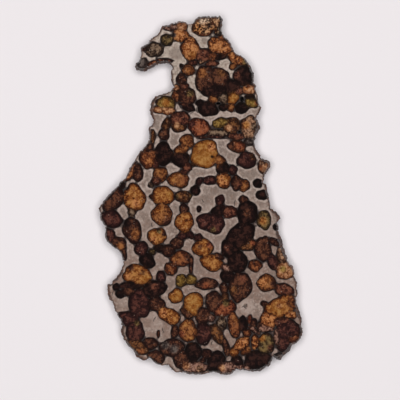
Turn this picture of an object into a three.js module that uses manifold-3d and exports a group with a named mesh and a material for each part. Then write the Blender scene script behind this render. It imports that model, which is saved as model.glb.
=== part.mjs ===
// A cut and polished slice of a pallasite, a stony-iron meteorite: rounded olivine crystals
// set in iron-nickel metal. The slice lies flat on its back face. X runs across it, Y along
// its length and Z up through its thickness, in millimetres. The origin is under the middle
// of its box, on the back face.

import * as THREE from "three";
import { mergeVertices } from "three/addons/utils/BufferGeometryUtils.js";
import Module from "manifold-3d";

// The sawn blank
const THICKNESS = 3.2;
const RIM_HEIGHT = 1.5; // where the rough rim stands out furthest
const BACK_SETBACK = 0.35; // how far the back face stops short of the rim

// The crystals
const SEAM = 0.12; // open seam between a crystal and the metal around it
const FACET = 2.7; // length of the facets around a crystal
const FEWEST_FACETS = 6;
const MOST_FACETS = 9;
const OVERSHOOT = 1; // how far the crystals' prisms run past both faces before they are cut
const WOBBLE_THREE = 0.035; // share of a crystal's radius that its three-sided swell adds
const WOBBLE_FIVE = 0.02; // the same for its five-sided swell
const STEP_THREE = 1.7; // radians by which the three-sided swell turns from crystal to crystal
const STEP_FIVE = 2.9;

// The smallest piece of metal or crystal that is kept as a piece of its own
const SMALLEST_METAL = 9; // mm3
const SMALLEST_CRYSTAL = 6; // mm3
const MEMBER_SHARE = 0.2; // share of a crystal that a body holds where the crystal is part of it

// The rim, once round from the tip of the beak by way of the throat, the left side, the foot and
// the right side: x, y, and how far the polished face stops short of the rim there.
const RIM = [
  // under the beak, down the throat and round the shoulder
  [-19.7, 38.7, 0.5],
  [-19.2, 37.8, 0.5],
  [-16.5, 37.3, 0.4],
  [-12.6, 39.5, 0.3],
  [-8.9, 39.5, 0.2],
  [-8.3, 38.4, 0.2],
  [-8.7, 36.9, 0.3],
  [-8.0, 32.4, 0.2],
  [-8.9, 31.2, 0.2],
  [-13.7, 29.4, 0.7],
  [-14.6, 27.9, 0.8],
  [-15.0, 25.5, 0.8],
  [-13.8, 22.7, 0.2],
  [-14.1, 21.5, 0.3],
  [-15.5, 20.0, 0.4],
  [-15.3, 16.5, 0.2],
  // the left side, out to the elbow and back in to the waist
  [-18.2, 12.8, 0.2],
  [-20.6, 9.0, 0.3],
  [-22.4, 5.0, 0.2],
  [-25.1, 2.4, 0.3],
  [-28.5, -1.2, 0.3],
  [-30.5, -4.1, 0.5],
  [-29.7, -7.8, 0.3],
  [-28.5, -9.5, 0.2],
  [-28.7, -11.7, 0.3],
  [-28.2, -13.5, 0.3],
  [-23.9, -17.3, 0.2],
  [-23.0, -20.6, 0.2],
  [-23.9, -23.0, 0.6],
  [-26.9, -27.0, 0.2],
  [-27.8, -27.0, 0.4],
  [-27.3, -31.4, 0.6],
  [-26.3, -32.4, 0.4],
  [-24.2, -37.2, 0.3],
  [-23.5, -39.3, 0.7],
  [-23.9, -41.4, 0.9],
  [-22.8, -43.7, 0.6],
  [-20.0, -46.8, 0.4],
  [-19.2, -48.6, 0.9],
  [-17.7, -49.7, 1.0],
  [-16.4, -49.8, 0.6],
  [-15.6, -49.1, 0.2],
  // the foot
  [-13.5, -50.7, 0.3],
  [-11.4, -51.3, 0.3],
  [-9.9, -51.1, 0.3],
  [-7.2, -53.3, 0.4],
  [-3.8, -53.9, 0.4],
  [0.8, -54.0, 0.5],
  [4.8, -53.5, 0.4],
  [6.9, -54.1, 0.5],
  [9.2, -54.0, 0.5],
  [10.7, -52.7, 0.3],
  [14.1, -53.1, 0.6],
  [18.0, -53.1, 0.7],
  [21.0, -51.3, 0.5],
  [21.9, -48.5, 0.2],
  [23.9, -49.9, 0.5],
  [27.2, -47.0, 1.1],
  [27.9, -45.3, 0.8],
  [29.1, -44.5, 0.3],
  [30.9, -41.4, 0.4],
  // the right side, up past the two thorns to the neck
  [30.4, -39.3, 0.3],
  [30.6, -36.9, 0.9],
  [29.1, -33.0, 0.4],
  [28.9, -30.9, 0.3],
  [29.4, -29.7, 0.4],
  [29.1, -26.6, 0.5],
  [28.3, -24.6, 0.3],
  [28.4, -22.7, 0.4],
  [27.7, -21.2, 0.4],
  [26.6, -20.7, 0.2],
  [25.2, -15.8, 0.9],
  [23.6, -11.0, 0.7],
  [23.8, -9.8, 0.5],
  [23.1, -8.3, 0.3],
  [24.3, -6.7, 0.9],
  [21.2, -3.9, 0.4],
  [20.9, -1.5, 0.4],
  [20.0, 3.0, 0.7],
  [19.1, 3.6, 0.3],
  [19.2, 5.6, 0.3],
  [20.6, 7.4, 0.5],
  [21.2, 9.5, 0.6],
  [20.6, 10.4, 0.6],
  [18.4, 11.0, 0.4],
  [16.4, 14.4, 0.4],
  [16.5, 16.7, 0.3],
  [18.0, 19.8, 0.7],
  [17.9, 21.5, 0.7],
  [16.7, 23.3, 0.2],
  [18.5, 26.3, 0.5],
  [17.7, 27.2, 0.2],
  [16.7, 33.0, 0.2],
  [16.1, 33.9, 0.2],
  [16.1, 36.6, 0.4],
  [15.5, 38.4, 0.5],
  [12.5, 41.9, 0.3],
  [10.7, 42.5, 0.2],
  [8.9, 46.1, 0.3],
  // the crown and the beak
  [6.9, 48.1, 0.2],
  [6.4, 50.4, 0.2],
  [6.9, 52.5, 0.4],
  [6.5, 54.1, 0.3],
  [5.1, 53.7, 0.3],
  [-0.5, 53.6, 0.5],
  [-2.1, 51.7, 0.2],
  [-3.6, 51.4, 0.2],
  [-4.4, 52.1, 0.3],
  [-6.3, 52.2, 0.4],
  [-11.3, 50.9, 0.5],
  [-13.2, 48.0, 0.5],
  [-14.9, 47.0, 0.5],
  [-15.6, 45.6, 0.4],
  [-17.6, 44.6, 0.4],
  [-18.0, 43.8, 0.3],
  [-17.6, 42.9, 0.2],
  [-18.0, 41.1, 0.3],
];

// The crystals as seen on the polished face: centre x, y, half-length, half-width, the turn of
// the length from +X in degrees, and the finish. Crystals that overlap have grown together.
const CRYSTALS = [
  // crown
  [1.2, 50.7, 3.9, 3.0, 8, "tan"],
  [4.5, 51.9, 2.1, 2.0, 0, "tan"],
  [5.4, 49.2, 1.5, 1.2, 90, "smoke"],
  [-5.4, 50.7, 1.8, 1.5, 0, "tan"],
  [-8.7, 50.3, 2.3, 1.1, 5, "dusk"],
  [-5.9, 47.9, 2.6, 2.0, 0, "orange"],
  [-9.9, 46.5, 2.1, 1.8, 0, "olive"],
  // beak
  [-13.8, 43.7, 3.0, 2.3, -10, "smoke"],
  [-17.6, 39.2, 2.4, 1.5, 35, "slate"],
  [-14.4, 39.3, 1.9, 0.9, 30, "rust"],
  [-10.5, 40.4, 2.6, 0.7, -5, "umber"],
  // brow
  [-2.9, 43.8, 3.7, 2.8, 98, "orange"],
  [0.9, 42.0, 2.7, 2.2, 0, "rosewood"],
  [6.0, 44.7, 3.9, 2.6, -15, "amber"],
  [3.6, 41.4, 1.8, 1.5, 0, "rust"],
  [6.0, 41.4, 2.4, 0.9, 15, "jet"],
  [10.8, 40.8, 2.9, 1.7, -32, "amber"],
  [13.4, 39.8, 1.4, 1.3, 0, "olive"],
  [13.1, 35.7, 3.1, 3.0, 0, "jet"],
  // throat
  [-3.5, 37.5, 2.0, 1.8, 0, "cinnamon"],
  [-5.6, 34.8, 1.8, 1.6, 90, "umber"],
  [-4.8, 32.6, 1.5, 1.2, 0, "rosewood"],
  [-7.2, 32.1, 1.2, 1.1, 0, "tan"],
  [1.8, 34.5, 4.4, 3.3, 95, "umber"],
  [6.3, 35.4, 3.6, 3.5, 0, "umber"],
  [4.2, 31.5, 3.9, 2.5, 0, "jet"],
  [9.3, 32.4, 2.7, 2.5, 0, "jet"],
  // neck
  [-4.2, 29.4, 3.1, 3.0, 90, "umber"],
  [-7.1, 29.6, 1.7, 1.5, 90, "rust"],
  [-4.0, 26.9, 2.8, 1.5, -35, "jet"],
  [-10.3, 27.6, 3.0, 2.0, -3, "moss"],
  [-9.6, 25.5, 2.1, 1.5, -10, "tan"],
  [-6.0, 22.7, 3.1, 2.5, 0, "rosewood"],
  [-6.3, 20.4, 2.4, 1.6, 0, "chestnut"],
  [-10.0, 21.3, 2.0, 1.4, 70, "chestnut"],
  [-10.8, 18.2, 1.9, 1.7, 90, "umber"],
  [-14.2, 17.6, 2.2, 0.9, 92, "chestnut"],
  [2.4, 25.8, 3.1, 2.3, 0, "jet"],
  [3.9, 28.7, 1.5, 1.3, 0, "cinnamon"],
  [6.8, 29.1, 2.0, 1.6, 90, "smoke"],
  [9.9, 29.1, 2.2, 1.8, 70, "honey"],
  [12.5, 26.1, 2.1, 1.7, 0, "jet"],
  [14.7, 31.7, 2.3, 1.6, 0, "tan"],
  [15.0, 29.4, 1.5, 1.1, 0, "jet"],
  [15.6, 27.6, 2.3, 1.4, -15, "moss"],
  [-0.3, 20.3, 3.4, 2.8, -15, "brick"],
  [6.2, 21.6, 2.6, 1.6, 8, "moss"],
  [9.6, 20.7, 2.7, 2.6, 0, "chestnut"],
  [5.4, 18.6, 3.9, 1.2, -5, "smoke"],
  [10.8, 17.7, 2.7, 1.3, -5, "rosewood"],
  [14.7, 20.3, 3.6, 2.6, 90, "fawn"],
  [15.0, 16.2, 1.8, 1.5, 0, "slate"],
  // chest
  [-3.9, 16.1, 2.2, 2.2, 0, "cinnamon"],
  [-5.4, 13.8, 2.7, 1.4, 25, "cinnamon"],
  [1.4, 12.3, 4.4, 4.1, 60, "honey"],
  [-11.0, 12.3, 3.7, 2.8, 90, "jet"],
  [-15.6, 11.1, 3.2, 2.6, 90, "rust"],
  [-15.6, 14.0, 2.0, 1.2, 30, "umber"],
  [-20.7, 7.2, 3.3, 1.4, 65, "rust"],
  [-18.9, 6.9, 3.0, 1.8, 105, "umber"],
  [-5.9, 10.8, 2.9, 2.3, 0, "jet"],
  [-3.9, 8.4, 1.7, 1.5, 90, "rosewood"],
  [-11.9, 6.2, 2.4, 2.2, 90, "cinnamon"],
  [-6.5, 4.5, 3.3, 2.4, -3, "cinnamon"],
  [11.1, 14.6, 2.9, 1.9, -10, "rust"],
  [14.0, 10.4, 3.0, 2.5, 0, "plum"],
  [19.2, 8.7, 2.4, 1.9, 90, "fawn"],
  [5.9, 10.4, 1.8, 1.5, -25, "cinnamon"],
  [6.9, 8.0, 2.2, 1.9, 0, "jet"],
  [9.8, 7.5, 1.6, 1.4, 90, "plum"],
  [7.1, 4.4, 2.5, 2.3, 90, "orange"],
  [-0.2, 4.1, 1.4, 1.0, 55, "plum"],
  [2.9, 4.4, 2.1, 1.4, 0, "plum"],
  [11.0, 3.6, 2.4, 1.8, 90, "umber"],
  [13.2, 2.9, 1.9, 1.8, 90, "cinnamon"],
  [17.3, 3.5, 1.4, 1.4, 0, "jet"],
  [18.7, 0.0, 2.0, 1.5, 0, "jet"],
  [-1.4, 1.4, 1.6, 1.5, 90, "jet"],
  [-5.0, -0.5, 2.6, 1.9, -5, "chestnut"],
  // left side
  [-19.7, -0.8, 4.1, 3.4, 108, "amber"],
  [-11.1, -0.2, 3.4, 2.9, 0, "amber"],
  [-11.4, -5.9, 3.4, 3.2, 90, "cinnamon"],
  [-24.0, 2.7, 1.8, 1.3, 40, "jet"],
  [-26.0, -1.5, 4.3, 2.6, 50, "umber"],
  [-26.7, -7.2, 3.5, 2.7, -10, "plum"],
  [-27.2, -12.5, 2.6, 1.8, 90, "plum"],
  [-24.5, -14.9, 2.6, 2.4, -45, "umber"],
  [-20.4, -5.1, 1.5, 1.3, 90, "smoke"],
  [-20.3, -10.6, 4.0, 2.8, 102, "umber"],
  [-12.9, -12.4, 2.9, 2.6, 0, "amber"],
  [-4.7, -8.1, 3.2, 2.8, 70, "amber"],
  [-4.8, -4.2, 1.8, 1.4, 100, "umber"],
  [1.8, -7.9, 2.9, 2.5, 0, "plum"],
  [4.5, -8.5, 3.3, 2.9, 80, "plum"],
  [5.6, -4.8, 2.6, 1.8, 35, "jet"],
  [6.0, -1.6, 1.7, 1.4, 80, "plum"],
  [8.9, -5.1, 2.4, 1.9, -5, "rosewood"],
  // right side
  [14.2, -5.3, 3.6, 3.2, 90, "jet"],
  [19.2, -7.5, 2.9, 2.2, 95, "olive"],
  [12.2, -12.3, 4.8, 3.6, 48, "jet"],
  [9.0, -16.1, 3.0, 2.8, 90, "jet"],
  [11.1, -20.0, 3.6, 3.1, 90, "jet"],
  [14.3, -15.0, 2.6, 1.8, 20, "chestnut"],
  [18.9, -16.2, 3.9, 2.6, 95, "umber"],
  [16.5, -21.2, 2.1, 1.9, 0, "rust"],
  [21.9, -20.1, 2.6, 1.7, 110, "plum"],
  [24.6, -18.0, 2.6, 1.7, 100, "fawn"],
  [25.5, -22.7, 2.9, 2.7, 0, "tan"],
  [22.5, -14.1, 2.1, 1.1, -25, "umber"],
  [20.0, -26.4, 2.9, 2.7, 0, "cinnamon"],
  [25.2, -28.4, 3.1, 1.9, -10, "rosewood"],
  // belly
  [0.9, -15.9, 3.2, 2.7, -5, "amber"],
  [-3.0, -12.0, 1.4, 1.1, -30, "plum"],
  [-0.5, -12.8, 1.4, 1.2, 0, "plum"],
  [-5.3, -12.3, 1.5, 1.3, 0, "plum"],
  [-6.8, -14.4, 2.0, 1.9, 0, "umber"],
  [-12.2, -16.0, 1.8, 1.2, 0, "jet"],
  [-9.5, -16.7, 2.1, 1.9, 0, "umber"],
  [-5.7, -19.1, 3.1, 2.5, 0, "rust"],
  [-8.7, -22.1, 2.1, 2.0, 90, "rust"],
  [-17.6, -16.1, 2.3, 2.1, 90, "plum"],
  [-15.8, -19.7, 2.6, 2.1, -40, "jet"],
  [-18.8, -24.0, 4.4, 3.1, -10, "amber"],
  [-20.7, -27.2, 4.1, 1.2, 3, "jet"],
  [-11.7, -24.5, 1.8, 1.5, 95, "plum"],
  [-13.7, -28.2, 3.8, 2.6, 15, "jet"],
  [-13.1, -32.6, 2.6, 2.3, 0, "umber"],
  [-18.2, -32.7, 4.5, 3.3, 90, "plum"],
  [-21.6, -28.8, 2.1, 1.6, 0, "umber"],
  [3.5, -20.3, 3.4, 2.5, -12, "amber"],
  [7.8, -21.9, 2.0, 1.2, -30, "dusk"],
  [-5.6, -25.7, 2.0, 1.8, 90, "moss"],
  [-2.7, -25.4, 1.8, 1.6, 0, "moss"],
  [2.0, -26.7, 3.5, 1.8, 5, "umber"],
  [12.0, -27.5, 4.4, 3.6, 80, "umber"],
  [8.4, -24.5, 2.5, 1.9, -20, "jet"],
  [-7.2, -30.3, 2.4, 2.1, 40, "honey"],
  [-2.0, -32.7, 3.7, 3.0, 72, "honey"],
  [4.2, -32.0, 3.3, 2.6, 90, "umber"],
  [7.5, -34.1, 3.7, 2.2, 25, "brick"],
  [-9.3, -36.2, 3.7, 2.3, -28, "amber"],
  [0.9, -36.3, 2.7, 2.4, 90, "umber"],
  // hip
  [24.0, -33.6, 5.0, 3.1, 22, "amber"],
  [20.7, -37.2, 3.0, 2.6, 80, "orange"],
  [16.1, -38.4, 1.4, 1.2, 90, "umber"],
  [12.8, -38.7, 2.4, 1.6, 90, "jet"],
  [10.2, -39.0, 4.1, 1.9, 100, "rust"],
  [6.5, -38.6, 2.1, 1.6, 100, "smoke"],
  [5.1, -41.7, 3.5, 1.8, 118, "chestnut"],
  [26.4, -40.8, 3.9, 3.6, 0, "plum"],
  [25.2, -44.4, 2.7, 2.5, 90, "plum"],
  [19.5, -39.9, 2.8, 1.3, -5, "dusk"],
  // foot
  [-21.6, -37.1, 3.6, 2.3, -10, "plum"],
  [-19.5, -40.8, 3.6, 2.8, 90, "plum"],
  [-18.8, -45.5, 3.6, 2.1, -28, "chestnut"],
  [-14.9, -44.6, 2.4, 1.9, 0, "umber"],
  [-13.1, -48.8, 2.6, 2.3, -20, "umber"],
  [-8.4, -45.8, 3.8, 2.8, 0, "umber"],
  [-5.6, -49.4, 3.0, 2.4, 100, "umber"],
  [-3.6, -40.7, 3.4, 2.9, 90, "cinnamon"],
  [1.1, -41.6, 3.7, 2.4, 90, "plum"],
  [-2.0, -47.1, 3.0, 2.6, 90, "jet"],
  [2.0, -47.7, 1.7, 1.6, 0, "umber"],
  [4.8, -50.0, 3.5, 2.5, 60, "jet"],
  [-1.8, -51.8, 4.2, 2.0, 0, "dusk"],
  [8.3, -51.9, 3.0, 2.1, 0, "dusk"],
  [7.8, -45.6, 3.0, 1.1, 105, "umber"],
  [12.6, -44.6, 2.9, 1.8, 38, "orange"],
  [10.2, -47.1, 1.6, 1.4, 0, "amber"],
  [14.1, -41.4, 1.4, 1.2, 0, "rust"],
  [16.5, -44.1, 2.4, 1.3, 90, "orange"],
  [19.8, -44.6, 3.3, 2.6, 90, "olive"],
  [11.1, -49.7, 1.9, 1.6, -35, "jet"],
  [17.4, -49.7, 4.4, 3.1, 5, "jet"],
];

// Three small gaps where a crystal has fallen out: centre x, y, half-length, half-width, turn
const GAPS = [
  [12.6, 28.7, 0.95, 0.6, 90],
  [11.7, 18.8, 0.6, 0.55, 0],
  [5.6, 27.5, 0.75, 0.45, 10],
];

const METAL = { color: 0xa39b93, roughness: 0.42, metalness: 0.9 };

// Finishes of the crystals: colour and roughness
const FINISHES = {
  honey: [0xb07a30, 0.32],
  amber: [0xa8662a, 0.32],
  orange: [0xa5582a, 0.34],
  cinnamon: [0x8e5430, 0.36],
  rust: [0x7a4026, 0.42],
  brick: [0x7c3f2a, 0.42],
  chestnut: [0x6a4328, 0.4],
  moss: [0x8a6e34, 0.38],
  olive: [0x5c4a28, 0.42],
  tan: [0xa07850, 0.5],
  fawn: [0x86684e, 0.48],
  dusk: [0x7a5a50, 0.55],
  smoke: [0x56483c, 0.5],
  rosewood: [0x54322a, 0.42],
  umber: [0x3e2a20, 0.38],
  plum: [0x3a2626, 0.38],
  slate: [0x4a4444, 0.5],
  jet: [0x1e1614, 0.3],
};

const wasm = await Module();
wasm.setup();

// The solid of a closed three.js geometry, ready to be joined and cut.
function solidOf(geometry) {
  const bare = geometry.clone();
  bare.deleteAttribute("normal");
  bare.deleteAttribute("uv");
  const merged = mergeVertices(bare, 1e-4);
  return new wasm.Manifold(
    new wasm.Mesh({
      numProp: 3,
      vertProperties: merged.attributes.position.array,
      triVerts: new Uint32Array(merged.index.array),
    }),
  );
}

// A solid's surface as a three.js geometry.
function geometryOf(solid) {
  const { vertProperties, triVerts } = solid.getMesh();
  const geometry = new THREE.BufferGeometry();
  geometry.setAttribute("position", new THREE.BufferAttribute(vertProperties, 3));
  geometry.setIndex(new THREE.BufferAttribute(triVerts, 1));
  geometry.computeVertexNormals();
  return geometry;
}

// The rim's points moved inwards, each by its own setback.
function rimRing(setbackOf) {
  const points = RIM.map(([x, y]) => new THREE.Vector2(x, y));
  return points.map((point, i) => {
    const before = points.at(i - 1);
    const after = points[(i + 1) % points.length];
    const along = after.clone().sub(before).normalize();
    const inwards = new THREE.Vector2(-along.y, along.x);
    return point.clone().addScaledVector(inwards, setbackOf(RIM[i][2]));
  });
}

// The blank: the back face, the rim that stands out, and the polished face.
function makeBlank() {
  const levels = [
    { z: 0, ring: rimRing(() => BACK_SETBACK) },
    { z: RIM_HEIGHT, ring: rimRing(() => 0) },
    { z: THICKNESS, ring: rimRing((setback) => setback) },
  ];
  const count = RIM.length;
  const position = levels.flatMap(({ z, ring }) => ring.flatMap(({ x, y }) => [x, y, z]));
  const index = [];
  for (let level = 0; level < levels.length - 1; level++) {
    for (let i = 0; i < count; i++) {
      const a = level * count + i;
      const b = level * count + ((i + 1) % count);
      index.push(a, b, b + count, a, b + count, a + count);
    }
  }
  const top = (levels.length - 1) * count;
  for (const [a, b, c] of THREE.ShapeUtils.triangulateShape(levels[0].ring, [])) {
    index.push(a, c, b);
  }
  for (const [a, b, c] of THREE.ShapeUtils.triangulateShape(levels.at(-1).ring, [])) {
    index.push(top + a, top + b, top + c);
  }
  const geometry = new THREE.BufferGeometry();
  geometry.setAttribute("position", new THREE.Float32BufferAttribute(position, 3));
  geometry.setIndex(index);
  return solidOf(geometry);
}

// A many-sided prism through the slice, in the outline of one crystal or gap. Its corners
// swing in and out a little, each crystal in its own way.
function prism([x, y, long, short, turn], number, growth) {
  const around = Math.PI * (long + short);
  const sides = THREE.MathUtils.clamp(Math.round(around / FACET), FEWEST_FACETS, MOST_FACETS);
  const direction = THREE.MathUtils.degToRad(turn);
  const corners = [];
  for (let i = 0; i < sides; i++) {
    const angle = (2 * Math.PI * i) / sides;
    const swell =
      1 +
      WOBBLE_THREE * Math.cos(3 * angle + STEP_THREE * number) +
      WOBBLE_FIVE * Math.cos(5 * angle + STEP_FIVE * number);
    const corner = new THREE.Vector2(
      (long * swell + growth) * Math.cos(angle),
      (short * swell + growth) * Math.sin(angle),
    );
    corner.rotateAround(new THREE.Vector2(), direction);
    corners.push(corner.add(new THREE.Vector2(x, y)));
  }
  const geometry = new THREE.ExtrudeGeometry(new THREE.Shape(corners), {
    depth: THICKNESS + 2 * OVERSHOOT,
    bevelEnabled: false,
  });
  return solidOf(geometry.translate(0, 0, -OVERSHOOT));
}

// All the crystals' prisms joined, as they are or grown all round.
function joinedCrystals(growth) {
  return wasm.Manifold.union(CRYSTALS.map((row, number) => prism(row, number, growth)));
}

// The separate bodies of a solid over a least volume, from the top of the slice to its foot.
function bodiesOf(solid, smallest) {
  const topOf = (body) => body.boundingBox().max[1];
  return solid
    .decompose()
    .filter((body) => body.volume() > smallest)
    .sort((a, b) => topOf(b) - topOf(a));
}

// The crystals that make up a body, the largest first.
function crystalsIn(body) {
  const { min, max } = body.boundingBox();
  return CRYSTALS.map((row, number) => ({ row, number, area: row[2] * row[3] }))
    .filter(({ row: [x, y] }) => x > min[0] && x < max[0] && y > min[1] && y < max[1])
    .filter(({ row, number }) => {
      const crystal = prism(row, number, 0);
      return body.intersect(crystal).volume() > MEMBER_SHARE * crystal.volume();
    })
    .sort((a, b) => b.area - a.area);
}

// A named mesh of a solid in its finish.
function meshOf(solid, name, material) {
  const mesh = new THREE.Mesh(geometryOf(solid), new THREE.MeshStandardMaterial(material));
  mesh.name = name;
  return mesh;
}

const numbered = (name, count) => `${name}_${String(count).padStart(2, "0")}`;

const blank = makeBlank();
const gaps = wasm.Manifold.union(GAPS.map((row, number) => prism(row, number, 0)));
const slice = blank.subtract(gaps);

const pallasite = new THREE.Group();

const metalBodies = bodiesOf(slice.subtract(joinedCrystals(SEAM)), SMALLEST_METAL);
const web = metalBodies.reduce((a, b) => (a.volume() > b.volume() ? a : b));
pallasite.add(meshOf(web, "iron_nickel_web", METAL));
metalBodies
  .filter((body) => body !== web)
  .forEach((body, i) => pallasite.add(meshOf(body, numbered("iron_nickel_patch", i + 1), METAL)));

let singles = 0;
let clusters = 0;
for (const body of bodiesOf(slice.intersect(joinedCrystals(0)), SMALLEST_CRYSTAL)) {
  const crystals = crystalsIn(body);
  const name =
    crystals.length > 1
      ? numbered("olivine_cluster", (clusters += 1))
      : numbered("olivine_crystal", (singles += 1));
  const [color, roughness] = FINISHES[crystals[0].row[5]];
  pallasite.add(meshOf(body, name, { color, roughness, metalness: 0 }));
}

// The middle of the rim's box goes to the origin.
const box = new THREE.Box2().setFromPoints(rimRing(() => 0));
const middle = box.getCenter(new THREE.Vector2());
pallasite.position.set(-middle.x, -middle.y, 0);

export default pallasite;
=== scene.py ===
"""A cut and polished slice of a pallasite: olivine crystals set in iron-nickel metal.

The slice lies on its sawn back. X runs across it, Y along it and Z up through it. Sizes and
places in this file are millimetres on the part, unless a name says otherwise.
"""

import logging
import math
from dataclasses import dataclass
from enum import Enum
from functools import cached_property

import bpy
import numpy as np
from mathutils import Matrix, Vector, noise
from mathutils.bvhtree import BVHTree
from mathutils.geometry import delaunay_2d_cdt


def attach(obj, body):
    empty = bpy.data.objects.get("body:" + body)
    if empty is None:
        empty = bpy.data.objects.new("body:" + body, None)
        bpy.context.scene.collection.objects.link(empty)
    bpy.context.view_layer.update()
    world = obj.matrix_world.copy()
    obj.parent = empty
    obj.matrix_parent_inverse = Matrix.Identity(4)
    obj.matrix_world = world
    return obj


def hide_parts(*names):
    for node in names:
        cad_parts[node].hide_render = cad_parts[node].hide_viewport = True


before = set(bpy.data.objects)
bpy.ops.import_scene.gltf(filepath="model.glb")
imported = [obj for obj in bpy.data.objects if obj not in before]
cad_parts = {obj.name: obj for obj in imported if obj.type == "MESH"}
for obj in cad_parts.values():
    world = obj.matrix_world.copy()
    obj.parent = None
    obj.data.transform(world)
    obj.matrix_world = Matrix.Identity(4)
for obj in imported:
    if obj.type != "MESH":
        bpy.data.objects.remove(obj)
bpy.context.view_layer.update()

LOG = logging.getLogger("pallasite")
MM = 0.001
ROOT = "root"
# Tones clearer than this take the see-through finish
CLEAR_FROM = 0.2

Colour = tuple[int, int, int]
Triangle = tuple[int, int, int]
Socket = bpy.types.NodeSocket
Number = Socket | float
Tint = Socket | Colour
Source = Socket | float | tuple
# Two levels between which something sets in, or fades where the first one is the higher
Span = tuple[float, float]
# A shader noise: its swells a millimetre, how many finer layers and how strong they are
Noise = tuple[float, int, float]
# Something's start, and what is added for each unit of something else
Line = tuple[float, float]


class Tone(Enum):
    """How an olivine crystal looks on the polished face.

    Each value holds three screen colours, the body's, its pale flecks' and its dark clouds',
    and then how clear it is and how much it glitters, from 0 to 1, which sets its painted glints.
    """

    HONEY = ((166, 101, 43), (208, 152, 84), (80, 40, 17), 0.46, 0.26)
    AMBER = ((142, 78, 34), (202, 140, 78), (62, 29, 13), 0.38, 0.33)
    ORANGE = ((138, 73, 35), (208, 140, 86), (56, 26, 14), 0.28, 0.50)
    CINNAMON = ((116, 64, 34), (176, 114, 66), (52, 26, 15), 0.34, 0.35)
    RUST = ((92, 46, 27), (152, 92, 56), (43, 20, 13), 0.22, 0.40)
    BRICK = ((100, 45, 29), (160, 92, 60), (45, 19, 13), 0.22, 0.45)
    CHESTNUT = ((76, 43, 26), (136, 88, 52), (36, 19, 12), 0.24, 0.40)
    MOSS = ((112, 82, 36), (174, 138, 74), (53, 35, 16), 0.34, 0.35)
    OLIVE = ((76, 57, 33), (132, 106, 66), (34, 23, 14), 0.22, 0.40)
    TAN = ((144, 88, 54), (198, 148, 108), (82, 44, 27), 0.14, 0.44)
    FAWN = ((104, 70, 50), (174, 132, 102), (48, 28, 20), 0.12, 0.50)
    DUSK = ((92, 59, 49), (156, 116, 99), (43, 24, 19), 0.08, 0.50)
    SMOKE = ((72, 53, 42), (138, 113, 92), (32, 21, 16), 0.14, 0.45)
    ROSEWOOD = ((72, 37, 29), (126, 75, 55), (36, 17, 13), 0.18, 0.36)
    UMBER = ((54, 29, 22), (104, 63, 44), (28, 13, 11), 0.14, 0.32)
    PLUM = ((51, 26, 24), (94, 54, 45), (27, 12, 12), 0.12, 0.27)
    SLATE = ((60, 49, 46), (106, 93, 86), (28, 20, 18), 0.04, 0.25)
    JET = ((26, 13, 12), (58, 33, 27), (15, 7, 6), 0.10, 0.22)
    PALE = ((150, 112, 86), (222, 190, 162), (84, 54, 38), 0.10, 0.60)

    @property
    def carried(self) -> dict[str, np.ndarray | float]:
        """What the corners of a crystal of this tone carry, with its colours as linear light."""
        *colours, clarity, glitter = self.value
        made = {name: linear(colour) for name, colour in zip(("body", "fleck", "deep"), colours)}
        return {**made, "clarity": clarity, "glitter": glitter}

    @property
    def see_through(self) -> bool:
        """Whether it is clear enough to take the see-through finish."""
        return self.carried["clarity"] > CLEAR_FROM


# The tones by their names alone, for the rows below
(HONEY, AMBER, ORANGE, CINNAMON, RUST, BRICK, CHESTNUT, MOSS, OLIVE, TAN, FAWN, DUSK, SMOKE,
 ROSEWOOD, UMBER, PLUM, SLATE, JET, PALE) = Tone


@dataclass(frozen=True)
class Grain:
    """One crystal's outline on the polished face, its turn in degrees and its tone."""

    x: float
    y: float
    long: float
    short: float
    turn: float
    tone: Tone


@dataclass(frozen=True)
class Spot:
    """A soft round place on the polished face."""

    x: float
    y: float
    radius: float

    def share(self, points: np.ndarray, low: float, high: float) -> np.ndarray:
        """How much of it lies at each point: it fades between two shares of its radius."""
        away = np.linalg.norm(points - (self.x, self.y), axis=1)
        return fall(low * self.radius, high * self.radius, away)


@dataclass(frozen=True)
class Patch(Spot):
    """A stain of another tone inside a crystal."""

    tone: Tone


@dataclass(frozen=True)
class Field(Spot):
    """A part of the metal with a shade of its own, from -1, dark, to 1, pale."""

    shade: float


@dataclass(frozen=True)
class Stroke:
    """A dark hairline inclusion in the metal: its middle, its length and its turn."""

    x: float
    y: float
    length: float
    turn: float


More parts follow.
